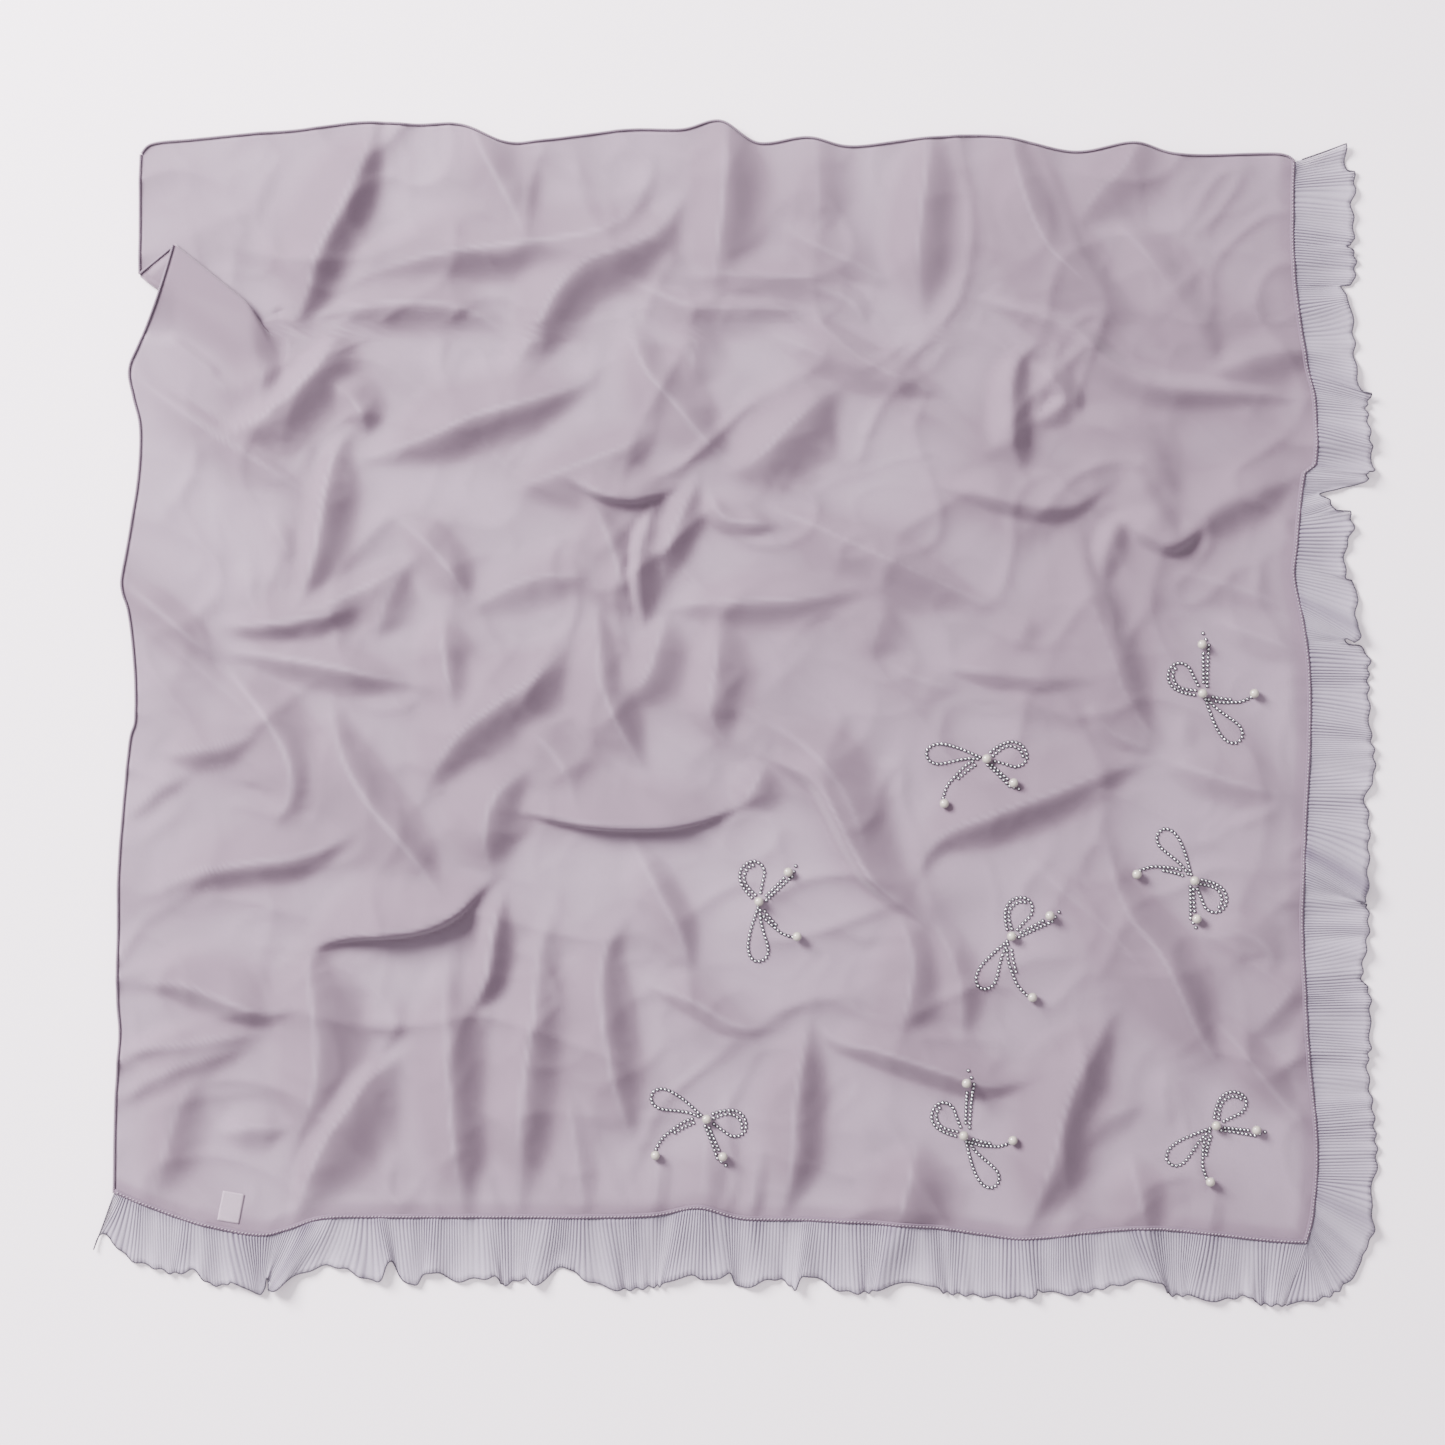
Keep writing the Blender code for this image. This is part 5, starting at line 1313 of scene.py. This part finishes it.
studSpots = []
for name, knot, degrees, shortPearl, longPearl in bows:
    studSpots += bowStuds(knot, degrees, shortPearl, longPearl, studValues["pitch"])
studBase, studFacing = onCloth(studSpots, studValues["lift"])
studAlong = np.tile((1.0, 0.0, 0.0), (len(studSpots), 1))
# Dark rings under the domes: painted shade round each dome's edge
shadeRings = dotsOn(
    "studShadeRings", studBase, studFacing, studAlong,
    {"Width": studValues["rim"] * mm, "Length": studValues["rim"] * mm,
     "Height": studValues["shadeRingHeight"] * mm, "Sides": 10}, studShadeRing)
domes = dotsOn(
    "studDomes", studBase + studFacing * studValues["domeLift"], studFacing, studAlong,
    {"Width": studValues["dome"] * mm, "Length": studValues["dome"] * mm,
     "Height": studValues["domeHeight"] * mm, "Sides": 10}, studSilver)
print("studs set", len(studSpots))


pearlValues = {
    "radius": 4.4, "lift": 0.4, "holeReach": 0.24, "holeDepth": 0.9, "thread": 0.28,
    "threadStand": 0.3, "threadInHole": 1.0, "threadDip": 0.4, "threadFrom": -72.0,
    "threadTo": 252.0, "threadPoints": 25, "turnStep": 2.4,
}


def drilledPearl(name, centre, turn, values):
    # A round bead with a drilled hole at each end of its level axis
    shape = bmesh.new()
    bmesh.ops.create_uvsphere(shape, u_segments=28, v_segments=20, radius=values["radius"])
    for vertex in shape.verts:
        x, y, z = vertex.co
        off = math.hypot(x, y) / values["radius"]
        if off < values["holeReach"]:
            z -= math.copysign(values["holeDepth"] * (1.0 - off / values["holeReach"]) ** 0.5, z)
        across = z * math.cos(turn) - y * math.sin(turn)
        down = z * math.sin(turn) + y * math.cos(turn)
        vertex.co = Vector((across, down, -x))
        vertex.co = (vertex.co + centre) * mm
    bmesh.ops.recalc_face_normals(shape, faces=shape.faces)
    mesh = bpy.data.meshes.new(name)
    shape.to_mesh(mesh)
    shape.free()
    return addMesh(name, mesh, pearlShell)


def pearlThread(name, centre, turn, values):
    # The sewing thread comes out of both holes and goes down into the cloth
    points = []
    for angle in np.radians(np.linspace(values["threadFrom"], values["threadTo"], values["threadPoints"])):
        rising = math.sin(angle)
        stand = -values["threadInHole"] if rising > -0.1 else values["threadStand"]
        reach = values["radius"] + stand
        height = -values["threadDip"] if rising > 0.0 else rising * reach
        across = math.cos(angle) * reach
        points.append((across * math.cos(turn), across * math.sin(turn), height))
    path = np.array(points) + np.array(centre)
    return tube(name, path, np.full(len(path), values["thread"]), 6, seamThread)


def addPearl(number):
    # A drilled pearl on its thread, in the place of its node
    node = f"pearl_{number:02d}"
    low, high = (np.array(corner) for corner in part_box(node))
    centre = (low + high) * 0.5
    flatSpot = onCloth([centre[:2] / mm], 0.0)[0][0]
    height = max(flatSpot[2], 0.0) + pearlValues["radius"] + pearlValues["lift"]
    middle = Vector((centre[0] / mm, centre[1] / mm, height))
    turn = number * pearlValues["turnStep"]
    piece = drilledPearl(f"pearlBead{number:02d}", middle, turn, pearlValues)
    thread = pearlThread(f"pearlThread{number:02d}", middle, turn, pearlValues)
    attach(thread, "root")
    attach(piece, "root")
    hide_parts(node)


for number in range(1, 25):
    addPearl(number)
print("pearls sewn")

# Every piece rides on the one body; the CAD nodes that pieces stand for are hidden
frillRight = frills["frillRightCloth"][0]
frillBottom = frills["frillBottomCloth"][0]
frillRightThread = edgePieces["frillRightCloth"]
frillBottomThread = edgePieces["frillBottomCloth"]
hemUpper, hemMiddle, hemLower = hemLeftPieces
for piece, node, slot in (
    (panel, "panel", "chiffon"),
    (frillRight, "frill_right", "frill_cloth"),
    (frillBottom, "frill_bottom", "frill_cloth"),
    (hemTop, "rolled_hem_top", "hem_thread"),
    (hemUpper, "rolled_hem_left_upper", "hem_thread"),
    (hemMiddle, "rolled_hem_left_middle", "hem_thread"),
    (hemLower, "rolled_hem_left_lower", "hem_thread"),
    (seamRight, "seam_fold_right", "seam_fold"),
    (seamBottom, "seam_fold_bottom", "seam_fold"),
    (label, "care_label", "label"),
):
    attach(piece, "root")
    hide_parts(node)
for piece, slot in (
    (stitchRight, "seam_fold"), (stitchBottom, "seam_fold"), (shadeRings, "stud"), (domes, "stud"),
    (frillRightThread, "hem_thread"), (frillBottomThread, "hem_thread"),
):
    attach(piece, "root")

# Pale floor and soft light from the upper left of the view
lightValues = {
    "keyPlace": (-3.2, 2.6, 2.5), "keySize": 2.0, "keyPower": 1330.0, "skyStrength": 1.3,
    "skyColour": (0.96, 0.95, 0.97, 1.0),
}
floorValues = {
    "size": 9.0, "height": -0.0004, "tone": paint(246, 233, 242), "toneTwo": paint(242, 229, 238),
    "clouds": 1.5, "roughness": 0.9,
}


def addFloor(values):
    half = values["size"] * 0.5
    corners = ((-half, -half), (half, -half), (half, half), (-half, half))
    mesh = bpy.data.meshes.new("floor")
    mesh.from_pydata([(x, y, values["height"]) for x, y in corners], [], [(0, 1, 2, 3)])
    floor = bpy.data.objects.new("floor", mesh)
    bpy.context.scene.collection.objects.link(floor)
    material, tree, shader = startMaterial("paleFloor")
    tone = mixColours(tree, cloudTexture(tree, values["clouds"]), values["tone"], values["toneTwo"])
    tree.links.new(tone, shader.inputs["Base Color"])
    shader.inputs["Roughness"].default_value = values["roughness"]
    mesh.materials.append(material)


def addLight(values):
    light = bpy.data.lights.new("keyLight", "AREA")
    light.size = values["keySize"]
    light.energy = values["keyPower"]
    holder = bpy.data.objects.new("keyLight", light)
    holder.location = values["keyPlace"]
    holder.rotation_euler = (-Vector(values["keyPlace"])).to_track_quat("-Z", "Y").to_euler()
    bpy.context.scene.collection.objects.link(holder)
    world = bpy.data.worlds.new("softRoom")
    world.use_nodes = True
    sky = world.node_tree.nodes["Background"]
    sky.inputs["Color"].default_value = values["skyColour"]
    sky.inputs["Strength"].default_value = values["skyStrength"]
    bpy.context.scene.world = world


addFloor(floorValues)
addLight(lightValues)

print("scene ready")
